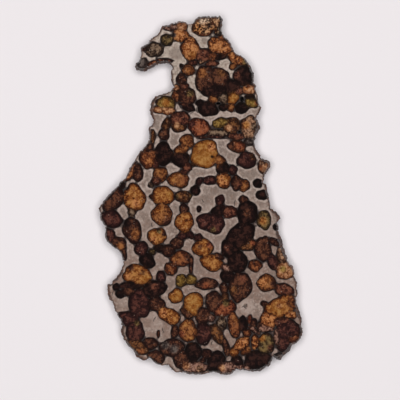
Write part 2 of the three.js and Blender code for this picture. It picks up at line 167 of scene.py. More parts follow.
# The rim as read off the polished side: x, y, and how far the polished face stops short of it
RIM = [
    (-19.7, 38.7, 0.5), (-19.2, 37.8, 0.5), (-18.5, 37.5, 0.4), (-16.5, 37.3, 0.4),
    (-15.8, 37.8, 0.4), (-14.9, 38.1, 0.4), (-13.5, 39.0, 0.4), (-12.6, 39.5, 0.3),
    (-10.2, 39.8, 0.3), (-8.9, 39.5, 0.2), (-8.3, 38.4, 0.2), (-8.7, 36.9, 0.3), (-8.6, 34.8, 0.4),
    (-8.3, 33.3, 0.3), (-8.0, 32.4, 0.2), (-8.9, 31.2, 0.2), (-10.5, 30.6, 0.4), (-12.6, 30.0, 0.5),
    (-13.7, 29.4, 0.7), (-14.6, 27.9, 0.8), (-15.0, 25.5, 0.8), (-14.6, 23.7, 0.6),
    (-13.8, 22.7, 0.2), (-14.1, 21.5, 0.3), (-14.9, 20.6, 0.3), (-15.5, 20.0, 0.4),
    (-15.2, 18.6, 0.3), (-15.3, 16.5, 0.2), (-16.4, 14.7, 0.2), (-18.2, 12.8, 0.2),
    (-19.1, 11.1, 0.2), (-20.6, 9.0, 0.3), (-21.6, 6.9, 0.3), (-22.4, 5.0, 0.2), (-23.9, 3.9, 0.2),
    (-25.1, 2.4, 0.3), (-27.0, 0.5, 0.3), (-28.5, -1.2, 0.3), (-29.6, -2.9, 0.3), (-30.5, -4.1, 0.5),
    (-30.2, -5.9, 0.4), (-29.7, -7.8, 0.3), (-28.5, -9.5, 0.2), (-28.7, -11.7, 0.3),
    (-28.2, -13.5, 0.3), (-27.0, -15.0, 0.3), (-25.2, -16.1, 0.3), (-23.9, -17.3, 0.2),
    (-23.3, -18.9, 0.2), (-23.0, -20.6, 0.2), (-23.9, -23.0, 0.6), (-25.2, -24.8, 0.7),
    (-26.3, -26.1, 0.4), (-26.9, -27.0, 0.2), (-27.8, -27.0, 0.4), (-27.8, -29.4, 0.8),
    (-27.3, -31.4, 0.6), (-26.3, -32.4, 0.4), (-25.4, -34.7, 0.3), (-24.2, -37.2, 0.3),
    (-23.5, -39.3, 0.7), (-23.9, -41.4, 0.9), (-22.8, -43.7, 0.6), (-21.2, -45.8, 0.4),
    (-20.0, -46.8, 0.4), (-19.2, -48.6, 0.9), (-17.7, -49.7, 1.0), (-16.4, -49.8, 0.6),
    (-15.6, -49.1, 0.2), (-14.7, -49.4, 0.2), (-13.5, -50.7, 0.3), (-11.4, -51.3, 0.3),
    (-9.9, -51.1, 0.3), (-8.4, -52.4, 0.5), (-7.2, -53.3, 0.4), (-4.8, -53.5, 0.4),
    (-3.8, -53.9, 0.4), (-2.1, -54.0, 0.5), (0.8, -54.0, 0.5), (2.4, -53.5, 0.4), (4.8, -53.5, 0.4),
    (6.9, -54.1, 0.5), (9.2, -54.0, 0.5), (10.7, -52.7, 0.3), (12.9, -52.7, 0.4), (14.1, -53.1, 0.6),
    (18.0, -53.1, 0.7), (19.2, -52.2, 0.6), (21.0, -51.3, 0.5), (21.7, -49.8, 0.4),
    (21.9, -48.5, 0.2), (22.8, -49.1, 0.3), (23.9, -49.9, 0.5), (25.1, -48.5, 0.8),
    (27.2, -47.0, 1.1), (27.9, -45.3, 0.8), (29.1, -44.5, 0.3), (30.2, -43.1, 0.3),
    (30.9, -41.4, 0.4), (30.4, -39.3, 0.3), (30.6, -36.9, 0.9), (29.9, -35.1, 0.9),
    (29.1, -33.0, 0.4), (28.9, -30.9, 0.3), (29.4, -29.7, 0.4), (29.0, -28.2, 0.4),
    (29.1, -26.6, 0.5), (28.3, -24.6, 0.3), (28.4, -22.7, 0.4), (27.7, -21.2, 0.4),
    (26.6, -20.7, 0.2), (26.0, -18.3, 0.5), (25.2, -15.8, 0.9), (24.7, -13.2, 1.2),
    (23.6, -11.0, 0.7), (23.8, -9.8, 0.5), (23.1, -8.3, 0.3), (24.3, -6.7, 0.9), (23.1, -5.4, 0.8),
    (21.2, -3.9, 0.4), (20.9, -1.5, 0.4), (20.3, 1.2, 0.6), (20.0, 3.0, 0.7), (19.1, 3.6, 0.3),
    (19.2, 5.6, 0.3), (20.6, 7.4, 0.5), (21.2, 9.5, 0.6), (20.6, 10.4, 0.6), (18.4, 11.0, 0.4),
    (17.7, 12.6, 0.8), (16.4, 14.4, 0.4), (16.5, 16.7, 0.3), (17.0, 18.3, 0.5), (18.0, 19.8, 0.7),
    (17.9, 21.5, 0.7), (16.7, 23.3, 0.2), (17.9, 24.9, 0.4), (18.5, 26.3, 0.5), (17.7, 27.2, 0.2),
    (17.4, 29.6, 0.3), (16.8, 31.5, 0.2), (16.7, 33.0, 0.2), (16.1, 33.9, 0.2), (16.1, 36.6, 0.4),
    (15.5, 38.4, 0.5), (14.6, 39.6, 0.4), (13.5, 41.1, 0.3), (12.5, 41.9, 0.3), (10.7, 42.5, 0.2),
    (9.9, 44.1, 0.3), (8.9, 46.1, 0.3), (7.8, 47.2, 0.3), (6.9, 48.1, 0.2), (6.6, 49.2, 0.3),
    (6.4, 50.4, 0.2), (6.9, 52.5, 0.4), (6.5, 54.1, 0.3), (5.1, 53.7, 0.3), (1.8, 53.9, 0.5),
    (-0.5, 53.6, 0.5), (-1.5, 52.7, 0.3), (-2.1, 51.7, 0.2), (-3.6, 51.4, 0.2), (-4.4, 52.1, 0.3),
    (-6.3, 52.2, 0.4), (-8.1, 51.7, 0.3), (-9.6, 51.2, 0.4), (-11.3, 50.9, 0.5), (-12.0, 49.5, 0.5),
    (-13.2, 48.0, 0.5), (-14.9, 47.0, 0.5), (-15.6, 45.6, 0.4), (-17.6, 44.6, 0.4),
    (-18.0, 43.8, 0.3), (-17.6, 42.9, 0.2), (-18.0, 41.1, 0.3), (-18.9, 39.8, 0.4),
]

# The crystals: centre, half-length, half-width, turn, tone
GRAINS = [Grain(*row) for row in (
    (1.2, 50.7, 3.9, 3.0, 8, TAN), (4.5, 51.9, 2.1, 2.0, 0, TAN), (6.2, 52.5, 1.8, 0.8, 90, JET),
    (5.4, 49.2, 1.5, 1.2, 90, SMOKE), (-5.4, 50.7, 1.8, 1.5, 0, TAN),
    (-8.7, 50.3, 2.3, 1.1, 5, DUSK), (-5.9, 47.9, 2.6, 2.0, 0, ORANGE),
    (-9.9, 46.5, 2.1, 1.8, 0, OLIVE), (-13.8, 43.7, 3.0, 2.3, -10, SMOKE),
    (-16.7, 44.1, 1.3, 0.9, 20, UMBER), (-17.6, 39.2, 2.4, 1.5, 35, SLATE),
    (-14.4, 39.3, 1.9, 0.9, 30, RUST), (-10.5, 40.4, 2.6, 0.7, -5, UMBER),
    (-2.9, 43.8, 3.7, 2.8, 98, ORANGE), (0.9, 42.0, 2.7, 2.2, 0, ROSEWOOD),
    (6.0, 44.7, 3.9, 2.6, -15, ORANGE), (6.6, 47.1, 1.4, 1.1, 0, RUST),
    (3.6, 41.4, 1.8, 1.5, 0, RUST), (6.0, 41.4, 2.4, 0.9, 15, JET),
    (10.8, 40.8, 2.9, 1.7, -32, ORANGE), (13.4, 39.8, 1.4, 1.3, 0, OLIVE),
    (13.1, 35.7, 3.1, 3.0, 0, JET), (-3.5, 37.5, 2.0, 1.8, 0, CINNAMON),
    (-5.6, 38.8, 0.6, 0.6, 0, JET), (-5.6, 34.8, 1.8, 1.6, 90, UMBER),
    (-4.8, 32.6, 1.5, 1.2, 0, ROSEWOOD), (-7.2, 32.1, 1.2, 1.1, 0, TAN),
    (1.8, 34.5, 4.4, 3.3, 95, UMBER), (5.7, 34.9, 3.2, 3.4, 0, UMBER), (4.2, 31.5, 3.9, 2.5, 0, JET),
    (9.3, 32.4, 2.7, 2.5, 0, JET), (11.4, 31.2, 1.8, 1.5, 0, ROSEWOOD),
    (-4.2, 29.4, 3.1, 3.0, 90, UMBER), (-7.1, 29.6, 1.7, 1.5, 90, RUST),
    (-4.0, 26.9, 2.8, 1.5, -35, JET), (-10.3, 27.6, 3.0, 2.0, -3, MOSS),
    (-9.6, 25.5, 2.1, 1.5, -10, TAN), (-6.0, 22.7, 3.1, 2.5, 0, ROSEWOOD),
    (-6.3, 20.4, 2.4, 1.6, 0, CHESTNUT), (-10.0, 21.3, 2.0, 1.4, 70, CHESTNUT),
    (-10.8, 18.2, 1.9, 1.7, 90, UMBER), (-14.2, 17.6, 2.2, 0.9, 92, CHESTNUT),
    (2.4, 25.8, 3.1, 2.3, 0, JET), (0.0, 27.6, 1.4, 1.0, 0, JET), (3.9, 28.7, 1.5, 1.3, 0, CINNAMON),
    (6.8, 29.1, 2.0, 1.6, 90, SMOKE), (9.9, 29.1, 2.2, 1.8, 70, HONEY),
    (9.3, 26.4, 1.5, 1.2, 90, CINNAMON), (7.1, 26.3, 1.6, 1.1, 0, JET),
    (12.5, 26.1, 2.1, 1.7, 0, JET), (14.7, 31.7, 2.3, 1.6, 0, TAN), (15.0, 29.4, 1.5, 1.1, 0, JET),
    (15.6, 27.6, 2.3, 1.4, -15, MOSS), (-0.3, 20.3, 3.4, 2.8, -15, BRICK),
    (6.2, 21.6, 2.6, 1.6, 8, MOSS), (9.6, 20.7, 2.7, 2.6, 0, CHESTNUT),
    (5.4, 18.6, 3.9, 1.2, -5, SMOKE), (10.8, 17.7, 2.7, 1.3, -5, ROSEWOOD),
    (14.7, 20.3, 3.6, 2.6, 90, FAWN), (15.0, 16.2, 1.8, 1.5, 0, SLATE),
    (-3.9, 16.1, 2.2, 2.2, 0, CINNAMON), (-5.4, 13.8, 2.7, 1.4, 25, CINNAMON),
    (1.4, 12.3, 4.4, 4.1, 60, HONEY), (-11.0, 12.3, 3.7, 2.8, 90, JET),
    (-15.6, 11.1, 3.2, 2.6, 90, RUST), (-15.6, 14.0, 2.0, 1.2, 30, UMBER),
    (-13.5, 9.3, 1.5, 1.3, 90, ROSEWOOD), (-20.7, 7.2, 3.3, 1.4, 65, RUST),
    (-18.9, 6.9, 3.0, 1.8, 105, UMBER), (-5.9, 10.8, 2.9, 2.3, 0, JET),
    (-3.9, 8.4, 1.7, 1.5, 90, ROSEWOOD), (-11.9, 6.2, 2.4, 2.2, 90, CINNAMON),
    (-13.2, 4.2, 1.5, 1.3, 0, ROSEWOOD), (-14.7, 3.0, 1.0, 0.8, 0, SMOKE),
    (-6.5, 4.5, 3.3, 2.4, -3, CINNAMON), (-4.8, 6.9, 1.3, 0.9, 0, ROSEWOOD),
    (11.1, 14.6, 2.9, 1.9, -10, RUST), (14.0, 10.4, 3.0, 2.5, 0, PLUM),
    (19.2, 8.7, 2.4, 1.9, 90, FAWN), (5.9, 10.4, 1.8, 1.5, -25, CINNAMON),
    (6.9, 8.0, 2.2, 1.9, 0, JET), (9.8, 7.5, 1.6, 1.4, 90, PLUM), (7.1, 4.4, 2.5, 2.3, 90, ORANGE),
    (-0.2, 4.1, 1.4, 1.0, 55, PLUM), (2.9, 4.4, 2.1, 1.4, 0, PLUM), (11.0, 3.6, 2.4, 1.8, 90, UMBER),
    (13.2, 2.9, 1.9, 1.8, 90, CINNAMON), (17.3, 3.5, 1.4, 1.4, 0, JET),
    (18.7, 0.0, 2.0, 1.5, 0, JET), (-1.4, 1.4, 1.6, 1.5, 90, JET),
    (-5.0, -0.5, 2.6, 1.9, -5, CHESTNUT), (-24.0, 2.7, 1.8, 1.3, 40, JET),
    (-19.7, -0.8, 4.1, 3.4, 108, AMBER), (-11.1, -0.2, 3.4, 2.9, 0, AMBER),
    (-14.3, -0.5, 1.0, 0.7, 0, UMBER), (-11.4, -5.9, 3.4, 3.2, 90, CINNAMON),
    (-26.0, -1.5, 4.3, 2.6, 50, UMBER), (-26.7, -7.2, 3.5, 2.7, -10, PLUM),
    (-27.2, -12.5, 2.6, 1.8, 90, PLUM), (-24.5, -14.9, 2.6, 2.4, -45, UMBER),
    (-22.8, -17.7, 2.1, 0.8, 98, UMBER), (-20.4, -5.1, 1.5, 1.3, 90, SMOKE),
    (-20.3, -10.6, 4.0, 2.8, 102, UMBER), (-12.9, -12.4, 2.9, 2.6, 0, AMBER),
    (-4.7, -8.1, 3.2, 2.8, 70, AMBER), (-4.8, -4.2, 1.8, 1.4, 100, UMBER),
    (-0.3, -4.2, 1.0, 0.7, 90, JET), (1.8, -7.9, 2.9, 2.5, 0, PLUM), (4.5, -8.5, 3.3, 2.9, 80, PLUM),
    (5.6, -4.8, 2.6, 1.8, 35, JET), (6.0, -1.6, 1.7, 1.4, 80, PLUM),
    (8.9, -5.1, 2.4, 1.9, -5, ROSEWOOD), (14.2, -5.3, 3.6, 3.2, 90, JET),
    (13.0, -1.4, 1.4, 1.3, 0, UMBER), (19.2, -7.5, 2.9, 2.2, 95, OLIVE),
    (12.2, -12.3, 4.8, 3.6, 48, JET), (9.0, -16.1, 3.0, 2.8, 90, JET),
    (11.1, -20.0, 3.6, 3.1, 90, JET), (14.3, -15.0, 2.6, 1.8, 20, CHESTNUT),
    (18.9, -16.2, 3.9, 2.6, 95, UMBER), (16.5, -21.2, 2.1, 1.9, 0, RUST),
    (21.9, -20.1, 2.6, 1.7, 110, PLUM), (24.6, -18.0, 2.6, 1.7, 100, FAWN),
    (25.5, -22.7, 2.9, 2.7, 0, TAN), (22.8, -9.6, 1.1, 0.9, 90, JET),
    (22.5, -14.1, 2.1, 1.1, -25, UMBER), (20.0, -26.4, 2.9, 2.7, 0, CINNAMON),
    (25.2, -28.4, 3.1, 1.9, -10, ROSEWOOD), (0.9, -15.9, 3.2, 2.7, -5, AMBER),
    (-3.0, -12.0, 1.4, 1.1, -30, PLUM), (-0.5, -12.8, 1.4, 1.2, 0, PLUM),
    (-5.3, -12.3, 1.5, 1.3, 0, PLUM), (-6.8, -14.4, 2.0, 1.9, 0, UMBER),
    (-12.2, -16.0, 1.8, 1.2, 0, JET), (-9.5, -16.7, 2.1, 1.9, 0, UMBER),
    (-5.7, -19.1, 3.1, 2.5, 0, RUST), (-8.7, -22.1, 2.1, 2.0, 90, RUST),
    (-2.7, -21.0, 3.0, 0.7, 88, UMBER), (-17.6, -16.1, 2.3, 2.1, 90, PLUM),
    (-15.8, -19.7, 2.6, 2.1, -40, JET), (-14.4, -17.1, 1.2, 0.9, -20, OLIVE),
    (-18.8, -24.0, 4.4, 3.1, -10, AMBER), (-20.7, -27.2, 4.1, 1.2, 3, JET),
    (-11.7, -24.5, 1.8, 1.5, 95, PLUM), (-13.7, -28.2, 3.8, 2.6, 15, JET),
    (-13.1, -32.6, 2.6, 2.3, 0, UMBER), (-18.2, -32.7, 4.5, 3.3, 90, PLUM),
    (-21.6, -28.8, 2.1, 1.6, 0, UMBER), (-25.1, -27.6, 1.2, 1.1, 0, JET),
    (-23.9, -29.7, 1.5, 1.3, 0, JET), (3.5, -20.3, 3.4, 2.5, -12, AMBER),
    (5.7, -18.5, 1.6, 1.0, -25, UMBER), (7.8, -21.9, 2.0, 1.2, -30, DUSK),
    (-5.6, -25.7, 2.0, 1.8, 90, MOSS), (-2.7, -25.4, 1.8, 1.6, 0, MOSS),
    (2.0, -26.7, 3.5, 1.8, 5, UMBER), (12.0, -27.5, 4.4, 3.6, 80, UMBER),
    (8.4, -24.5, 2.5, 1.9, -20, JET), (-7.2, -30.3, 2.4, 2.1, 40, HONEY),
    (-2.0, -32.7, 3.7, 3.0, 72, HONEY), (4.2, -32.0, 3.3, 2.6, 90, UMBER),
    (7.5, -34.1, 3.7, 2.2, 25, BRICK), (-9.3, -36.2, 3.7, 2.3, -28, AMBER),
    (0.9, -36.3, 2.7, 2.4, 90, UMBER), (24.0, -33.6, 5.0, 3.1, 22, AMBER),
    (20.7, -37.2, 3.0, 2.6, 80, ORANGE), (27.0, -32.4, 2.5, 2.4, 0, RUST),
    (24.6, -38.1, 2.8, 1.5, 0, ROSEWOOD), (19.2, -32.6, 1.1, 0.9, 0, UMBER),
    (16.1, -38.4, 1.4, 1.2, 90, UMBER), (18.0, -38.6, 0.8, 0.8, 0, UMBER),
    (14.9, -37.3, 1.5, 0.7, 80, BRICK), (12.8, -38.7, 2.4, 1.6, 90, JET),
    (10.2, -39.0, 4.1, 1.9, 100, RUST), (6.5, -38.6, 2.1, 1.6, 100, SMOKE),
    (5.1, -41.7, 3.5, 1.8, 118, CHESTNUT), (26.4, -40.8, 3.9, 3.6, 0, PLUM),
    (25.2, -44.4, 2.7, 2.5, 90, PLUM), (27.9, -42.9, 2.4, 2.2, 20, RUST),
    (19.5, -39.9, 2.8, 1.3, -5, DUSK), (23.1, -42.9, 2.7, 1.1, 95, DUSK),
    (-21.6, -37.1, 3.6, 2.3, -10, PLUM), (-19.5, -40.8, 3.6, 2.8, 90, PLUM),
    (-18.8, -45.5, 3.6, 2.1, -28, CHESTNUT), (-14.9, -44.6, 2.4, 1.9, 0, UMBER),
    (-12.5, -41.7, 1.2, 0.5, 90, RUST), (-13.1, -48.8, 2.6, 2.3, -20, UMBER),
    (-8.4, -45.8, 3.8, 2.8, 0, UMBER), (-5.6, -49.4, 3.0, 2.4, 100, UMBER),
    (-3.6, -40.7, 3.4, 2.9, 90, CINNAMON), (1.1, -41.6, 3.7, 2.4, 90, PLUM),
    (-2.0, -47.1, 3.0, 2.6, 90, JET), (2.0, -47.7, 1.7, 1.6, 0, UMBER),
    (4.8, -50.0, 3.5, 2.5, 60, JET), (-1.8, -51.8, 4.2, 2.0, 0, DUSK),
    (8.3, -51.9, 3.0, 2.1, 0, DUSK), (7.8, -45.6, 3.0, 1.1, 105, UMBER),
    (12.6, -44.6, 2.9, 1.8, 38, ORANGE), (10.2, -47.1, 1.6, 1.4, 0, AMBER),
    (14.1, -41.4, 1.4, 1.2, 0, RUST), (16.5, -44.1, 2.4, 1.3, 90, ORANGE),
    (19.8, -44.6, 3.3, 2.6, 90, OLIVE), (11.1, -49.7, 1.9, 1.6, -35, JET),
    (17.4, -49.7, 4.4, 3.1, 5, JET), (12.9, -51.9, 3.0, 1.2, 0, DUSK),
    (23.7, -48.5, 1.7, 1.2, 0, SLATE), (-2.1, 39.7, 1.6, 0.9, 0, ROSEWOOD),
    (0.6, 39.9, 1.3, 0.6, 20, FAWN), (3.6, 39.4, 2.1, 0.9, 5, ROSEWOOD),
    (9.9, 38.6, 1.3, 1.0, 30, CINNAMON), (4.5, 17.5, 3.3, 0.6, -3, PLUM),
    (0.9, 17.4, 1.8, 0.6, 0, ROSEWOOD), (-1.9, 9.3, 1.0, 0.8, 0, JET),
    (7.2, -27.9, 1.9, 1.3, 100, UMBER), (7.5, -30.6, 1.6, 1.2, 80, CHESTNUT),
    (-3.9, -35.4, 2.3, 1.4, -40, UMBER), (3.3, -36.9, 1.5, 1.2, 0, DUSK),
    (27.3, -36.0, 1.9, 1.2, 0, ORANGE), (-7.6, -41.0, 2.1, 1.2, 80, UMBER),
    (13.8, -46.8, 1.9, 1.1, 30, CINNAMON), (0.9, -49.6, 1.0, 0.8, 0, UMBER),
    (16.2, -40.5, 2.3, 0.8, -35, DUSK), (-12.5, 25.6, 1.7, 1.2, 0, TAN),
    (2.9, 35.5, 0.8, 0.45, 115, PALE),
)]

# Small gaps where a crystal has fallen out, written as the crystals are
GAPS = [Grain(*row) for row in (
    (12.6, 28.7, 0.85, 0.55, 90, JET), (11.7, 18.8, 0.6, 0.55, 0, JET),
    (5.6, 27.5, 0.75, 0.4, 10, JET),
)]

# Stains in the crystals: centre, radius, tone
PATCHES = [Patch(*row) for row in (
    (-7.9, 48.0, 0.9, SLATE), (2.1, 53.1, 1.5, PALE), (-0.3, 51.9, 1.2, TAN),
    (2.7, 50.7, 0.9, UMBER), (-0.9, 49.2, 1.3, ORANGE), (6.3, 53.4, 0.6, JET), (6.3, 51.6, 0.6, JET),
    (5.4, 53.1, 0.6, PALE), (-2.4, 42.0, 1.3, AMBER), (-3.6, 45.3, 1.2, ORANGE),
    (10.8, 36.0, 1.2, ROSEWOOD), (0.6, 36.6, 1.5, CINNAMON), (6.6, 36.9, 1.5, CHESTNUT),
    (-3.0, 30.6, 1.2, OLIVE), (-4.5, 27.6, 1.2, UMBER), (-13.2, 28.2, 0.9, PLUM),
    (-9.2, 30.3, 0.8, JET), (-10.2, 27.6, 1.3, HONEY), (-6.9, 21.0, 0.9, TAN),
    (-5.7, 23.7, 1.2, ROSEWOOD), (-2.4, 21.3, 1.1, PLUM), (0.9, 19.5, 1.5, BRICK),
    (13.8, 32.1, 0.9, ORANGE), (17.1, 27.6, 0.9, RUST), (10.5, 19.8, 0.9, UMBER),
    (13.8, 21.0, 1.3, AMBER), (16.5, 20.4, 1.3, SMOKE), (-15.0, 13.8, 1.2, UMBER),
    (-15.0, 9.9, 1.3, ORANGE), (-21.3, 6.0, 1.1, ORANGE), (-17.7, 5.7, 1.2, UMBER),
    (-12.6, 4.5, 1.1, ROSEWOOD), (3.6, 14.4, 1.6, ORANGE), (0.0, 11.1, 2.1, HONEY),
    (3.6, 11.5, 0.6, JET), (4.5, 9.0, 1.2, ORANGE), (-8.1, 5.1, 1.2, AMBER), (-4.5, 4.5, 1.5, RUST),
    (-17.1, 2.4, 1.3, UMBER), (-21.9, 2.4, 1.1, UMBER), (-19.2, -2.4, 1.5, ORANGE),
    (-9.0, 0.0, 1.3, HONEY), (-12.3, -1.2, 1.5, AMBER), (-9.9, -8.1, 1.6, UMBER),
    (-12.6, -4.2, 1.5, AMBER), (-12.3, -10.8, 0.9, OLIVE), (-10.8, -11.7, 0.9, UMBER),
    (-14.1, -13.5, 1.2, ORANGE), (-7.2, -0.6, 0.9, OLIVE), (-2.4, -0.6, 0.9, OLIVE),
    (9.3, 14.4, 1.3, UMBER), (12.0, 14.7, 1.3, BRICK), (16.2, 11.7, 1.3, CHESTNUT),
    (20.4, 8.4, 1.3, TAN), (18.0, 8.1, 1.1, RUST), (3.9, -10.5, 0.9, OLIVE),
    (0.0, -15.6, 0.8, UMBER), (3.0, -15.0, 1.2, BRICK), (3.9, -17.1, 0.9, OLIVE),
    (-19.2, -11.7, 1.6, CINNAMON), (-21.6, -8.7, 1.5, JET), (-24.0, -15.6, 1.3, CINNAMON),
    (-20.7, -21.9, 1.1, UMBER), (-20.7, -26.7, 1.3, JET), (-17.1, -23.4, 0.9, CHESTNUT),
    (-16.2, -25.2, 1.3, HONEY), (-21.9, -24.3, 1.2, ORANGE), (-3.6, -18.9, 1.2, UMBER),
    (-7.2, -18.6, 1.3, CINNAMON), (1.8, -27.3, 1.2, BRICK), (15.9, -14.4, 0.9, BRICK),
    (18.9, -7.8, 1.3, AMBER), (17.7, -10.2, 0.9, UMBER), (21.9, -26.7, 1.2, UMBER),
    (18.6, -26.1, 1.5, ORANGE), (23.1, -34.2, 1.9, HONEY), (26.7, -32.7, 1.2, CINNAMON),
    (7.8, -32.4, 1.2, OLIVE), (5.4, -36.9, 0.5, PALE), (6.6, -36.4, 0.5, PALE),
    (7.8, -36.9, 0.5, PALE), (0.3, -34.8, 1.5, UMBER), (-3.3, -30.9, 1.6, HONEY),
    (-8.4, -29.1, 0.9, ORANGE), (-11.1, -35.4, 1.5, ORANGE), (-4.2, -38.4, 1.2, AMBER),
    (-3.0, -43.5, 1.2, AMBER), (-5.7, -41.7, 1.2, BRICK), (18.6, -42.9, 1.2, HONEY),
    (21.3, -45.9, 1.3, UMBER), (19.2, -46.5, 0.9, OLIVE), (20.4, -41.4, 0.9, UMBER),
    (12.3, -37.2, 0.9, JET), (10.8, -36.9, 1.3, CINNAMON), (24.9, -22.2, 1.1, MOSS),
    (27.3, -24.3, 1.1, TAN), (-4.2, -51.3, 1.2, TAN), (0.0, -52.2, 1.2, FAWN),
    (6.6, -51.9, 1.1, TAN), (9.9, -28.5, 1.5, CHESTNUT), (12.9, -25.2, 1.2, ROSEWOOD),
    (-10.5, -45.0, 1.5, SLATE), (-7.8, -46.2, 1.5, SLATE), (-17.7, -47.1, 1.2, RUST),
    (-18.9, -38.4, 0.9, OLIVE), (14.1, -5.4, 1.2, UMBER), (8.1, -15.9, 0.9, ROSEWOOD),
    (-13.5, -27.6, 1.2, ROSEWOOD), (23.7, -33.3, 0.9, TAN), (8.7, 20.1, 1.1, TAN),
    (12.0, 3.3, 0.9, ROSEWOOD), (6.0, 3.3, 1.2, ORANGE), (8.1, 5.1, 1.1, AMBER),
    (-1.0, 49.8, 2.0, ORANGE), (4.2, 49.5, 1.2, ORANGE), (0.6, 52.6, 1.4, PALE),
)]

# Where the metal is darker or paler: centre, radius, shade
FIELDS = [Field(*row) for row in (
    (-7.2, 42.6, 1.3, 0.9), (-7.2, 42.4, 2.3, -0.7), (1.5, 46.2, 1.2, -0.8), (-15.3, 41.9, 1.8, 0.7),
    (13.9, -33.3, 2.5, 0.8), (13.6, -33.2, 0.7, -1.6), (-6.9, -4.2, 1.3, -0.6),
    (-0.6, -1.2, 1.0, -0.5), (9.0, -11.1, 1.3, -0.5), (-12.9, -39.0, 2.2, 0.5),
    (-14.4, -35.7, 2.0, 0.5), (16.0, -3.0, 1.4, -0.6), (9.0, 22.5, 4.0, 0.4),
    (-9.6, 30.6, 1.4, -0.6), (-15.9, -4.0, 1.8, 0.5), (3.3, -4.5, 2.4, 0.5), (24.0, -5.4, 1.2, -0.7),
    (12.6, -19.2, 1.2, -0.8), (14.4, -23.4, 1.1, -0.8), (7.8, -22.5, 1.6, -0.8),
    (11.5, 12.9, 1.3, -0.4), (21.6, -24.0, 1.4, -0.6), (22.6, -26.6, 1.5, -0.5),
    (-22.8, -31.5, 2.4, 0.4), (6.0, 1.5, 2.2, -0.6), (9.6, 0.9, 2.2, -0.6), (-1.2, -19.5, 1.9, -0.5),
    (-1.0, -22.5, 1.7, -0.4), (-5.7, -22.5, 1.7, -0.4), (-8.4, -26.4, 1.4, -0.5),
    (13.0, -9.5, 1.6, -0.3), (7.0, -13.0, 1.4, -0.6),
)]

# Hairlines in the metal: middle, length, turn
STROKES = [Stroke(*row) for row in (
    (-5.0, -2.6, 1.4, 60), (-5.9, -3.7, 0.9, 95), (-3.6, -6.0, 1.2, 35), (0.9, -1.7, 1.0, 120),
    (-10.8, -16.2, 1.4, 115), (-9.6, -15.0, 0.8, 20), (-17.4, -23.1, 1.0, 75),
    (13.1, -33.5, 1.1, 20), (14.0, -33.1, 0.9, 70), (13.6, -33.8, 0.8, 140), (18.9, 12.6, 2.4, 150),
    (20.7, 11.4, 1.6, 100), (10.5, -2.4, 1.6, 80), (12.3, -3.6, 1.4, 105), (9.3, -4.2, 1.1, 130),
    (-1.8, 27.9, 1.2, 60), (-0.9, 25.5, 1.4, 100), (-2.4, 24.6, 0.9, 30), (3.9, 17.4, 1.2, 110),
    (-20.4, 10.8, 1.3, 80), (-12.6, 9.0, 1.0, 60), (-8.7, 4.8, 1.5, 100), (-14.4, -9.0, 1.0, 100),
    (-6.9, -9.9, 1.1, 60), (2.1, -8.1, 1.3, 45), (6.9, -15.9, 1.0, 85), (17.7, -21.6, 1.2, 30),
    (20.1, -28.2, 1.4, 55), (-13.5, -37.2, 1.6, 60), (-11.1, -40.5, 1.3, 110),
    (-16.8, -41.1, 1.0, 30), (3.6, -44.4, 1.2, 70), (-22.5, -24.3, 1.0, 20), (-26.1, -29.4, 1.2, 70),
    (22.8, 2.1, 1.1, 60), (25.2, -9.3, 1.2, 110),
)]


def linear(colour: Colour) -> np.ndarray:
    """A screen colour, 0 to 255 a channel, as linear light."""
    share = np.array(colour, dtype=float) / 255
    return np.where(share <= 0.04045, share / 12.92, ((share + 0.055) / 1.055) ** 2.4)


def smoothstep(low: float, high: float, value: np.ndarray) -> np.ndarray:
    """A smooth rise from 0 at low to 1 at high."""
    share = np.clip((value - low) / (high - low), 0, 1)
    return share * share * (3 - 2 * share)


def fall(low: float, high: float, value: np.ndarray) -> np.ndarray:
    """A smooth fall from 1 at low to 0 at high."""
    return 1 - smoothstep(low, high, value)


def nearest_distance(points: np.ndarray, others: np.ndarray) -> np.ndarray:
    """How far each point is from the nearest of the others."""
    return (((points[:, None] - others[None]) ** 2).sum(axis=2) ** 0.5).min(axis=1)


def doubled_area(corners: np.ndarray) -> float:
    """Twice a flat triangle's area, negative where its corners run clockwise."""
    u, v = corners[1] - corners[0], corners[2] - corners[0]
    return u[0] * v[1] - u[1] * v[0]


def placed(name: str, data: bpy.types.ID) -> bpy.types.Object:
    """Makes an object and links it into the scene.

    Args:
        name: Its name.
        data: Its mesh, light or camera.

    Returns:
        The object.
    """
    made = bpy.data.objects.new(name, data)
    bpy.context.scene.collection.objects.link(made)
    return made


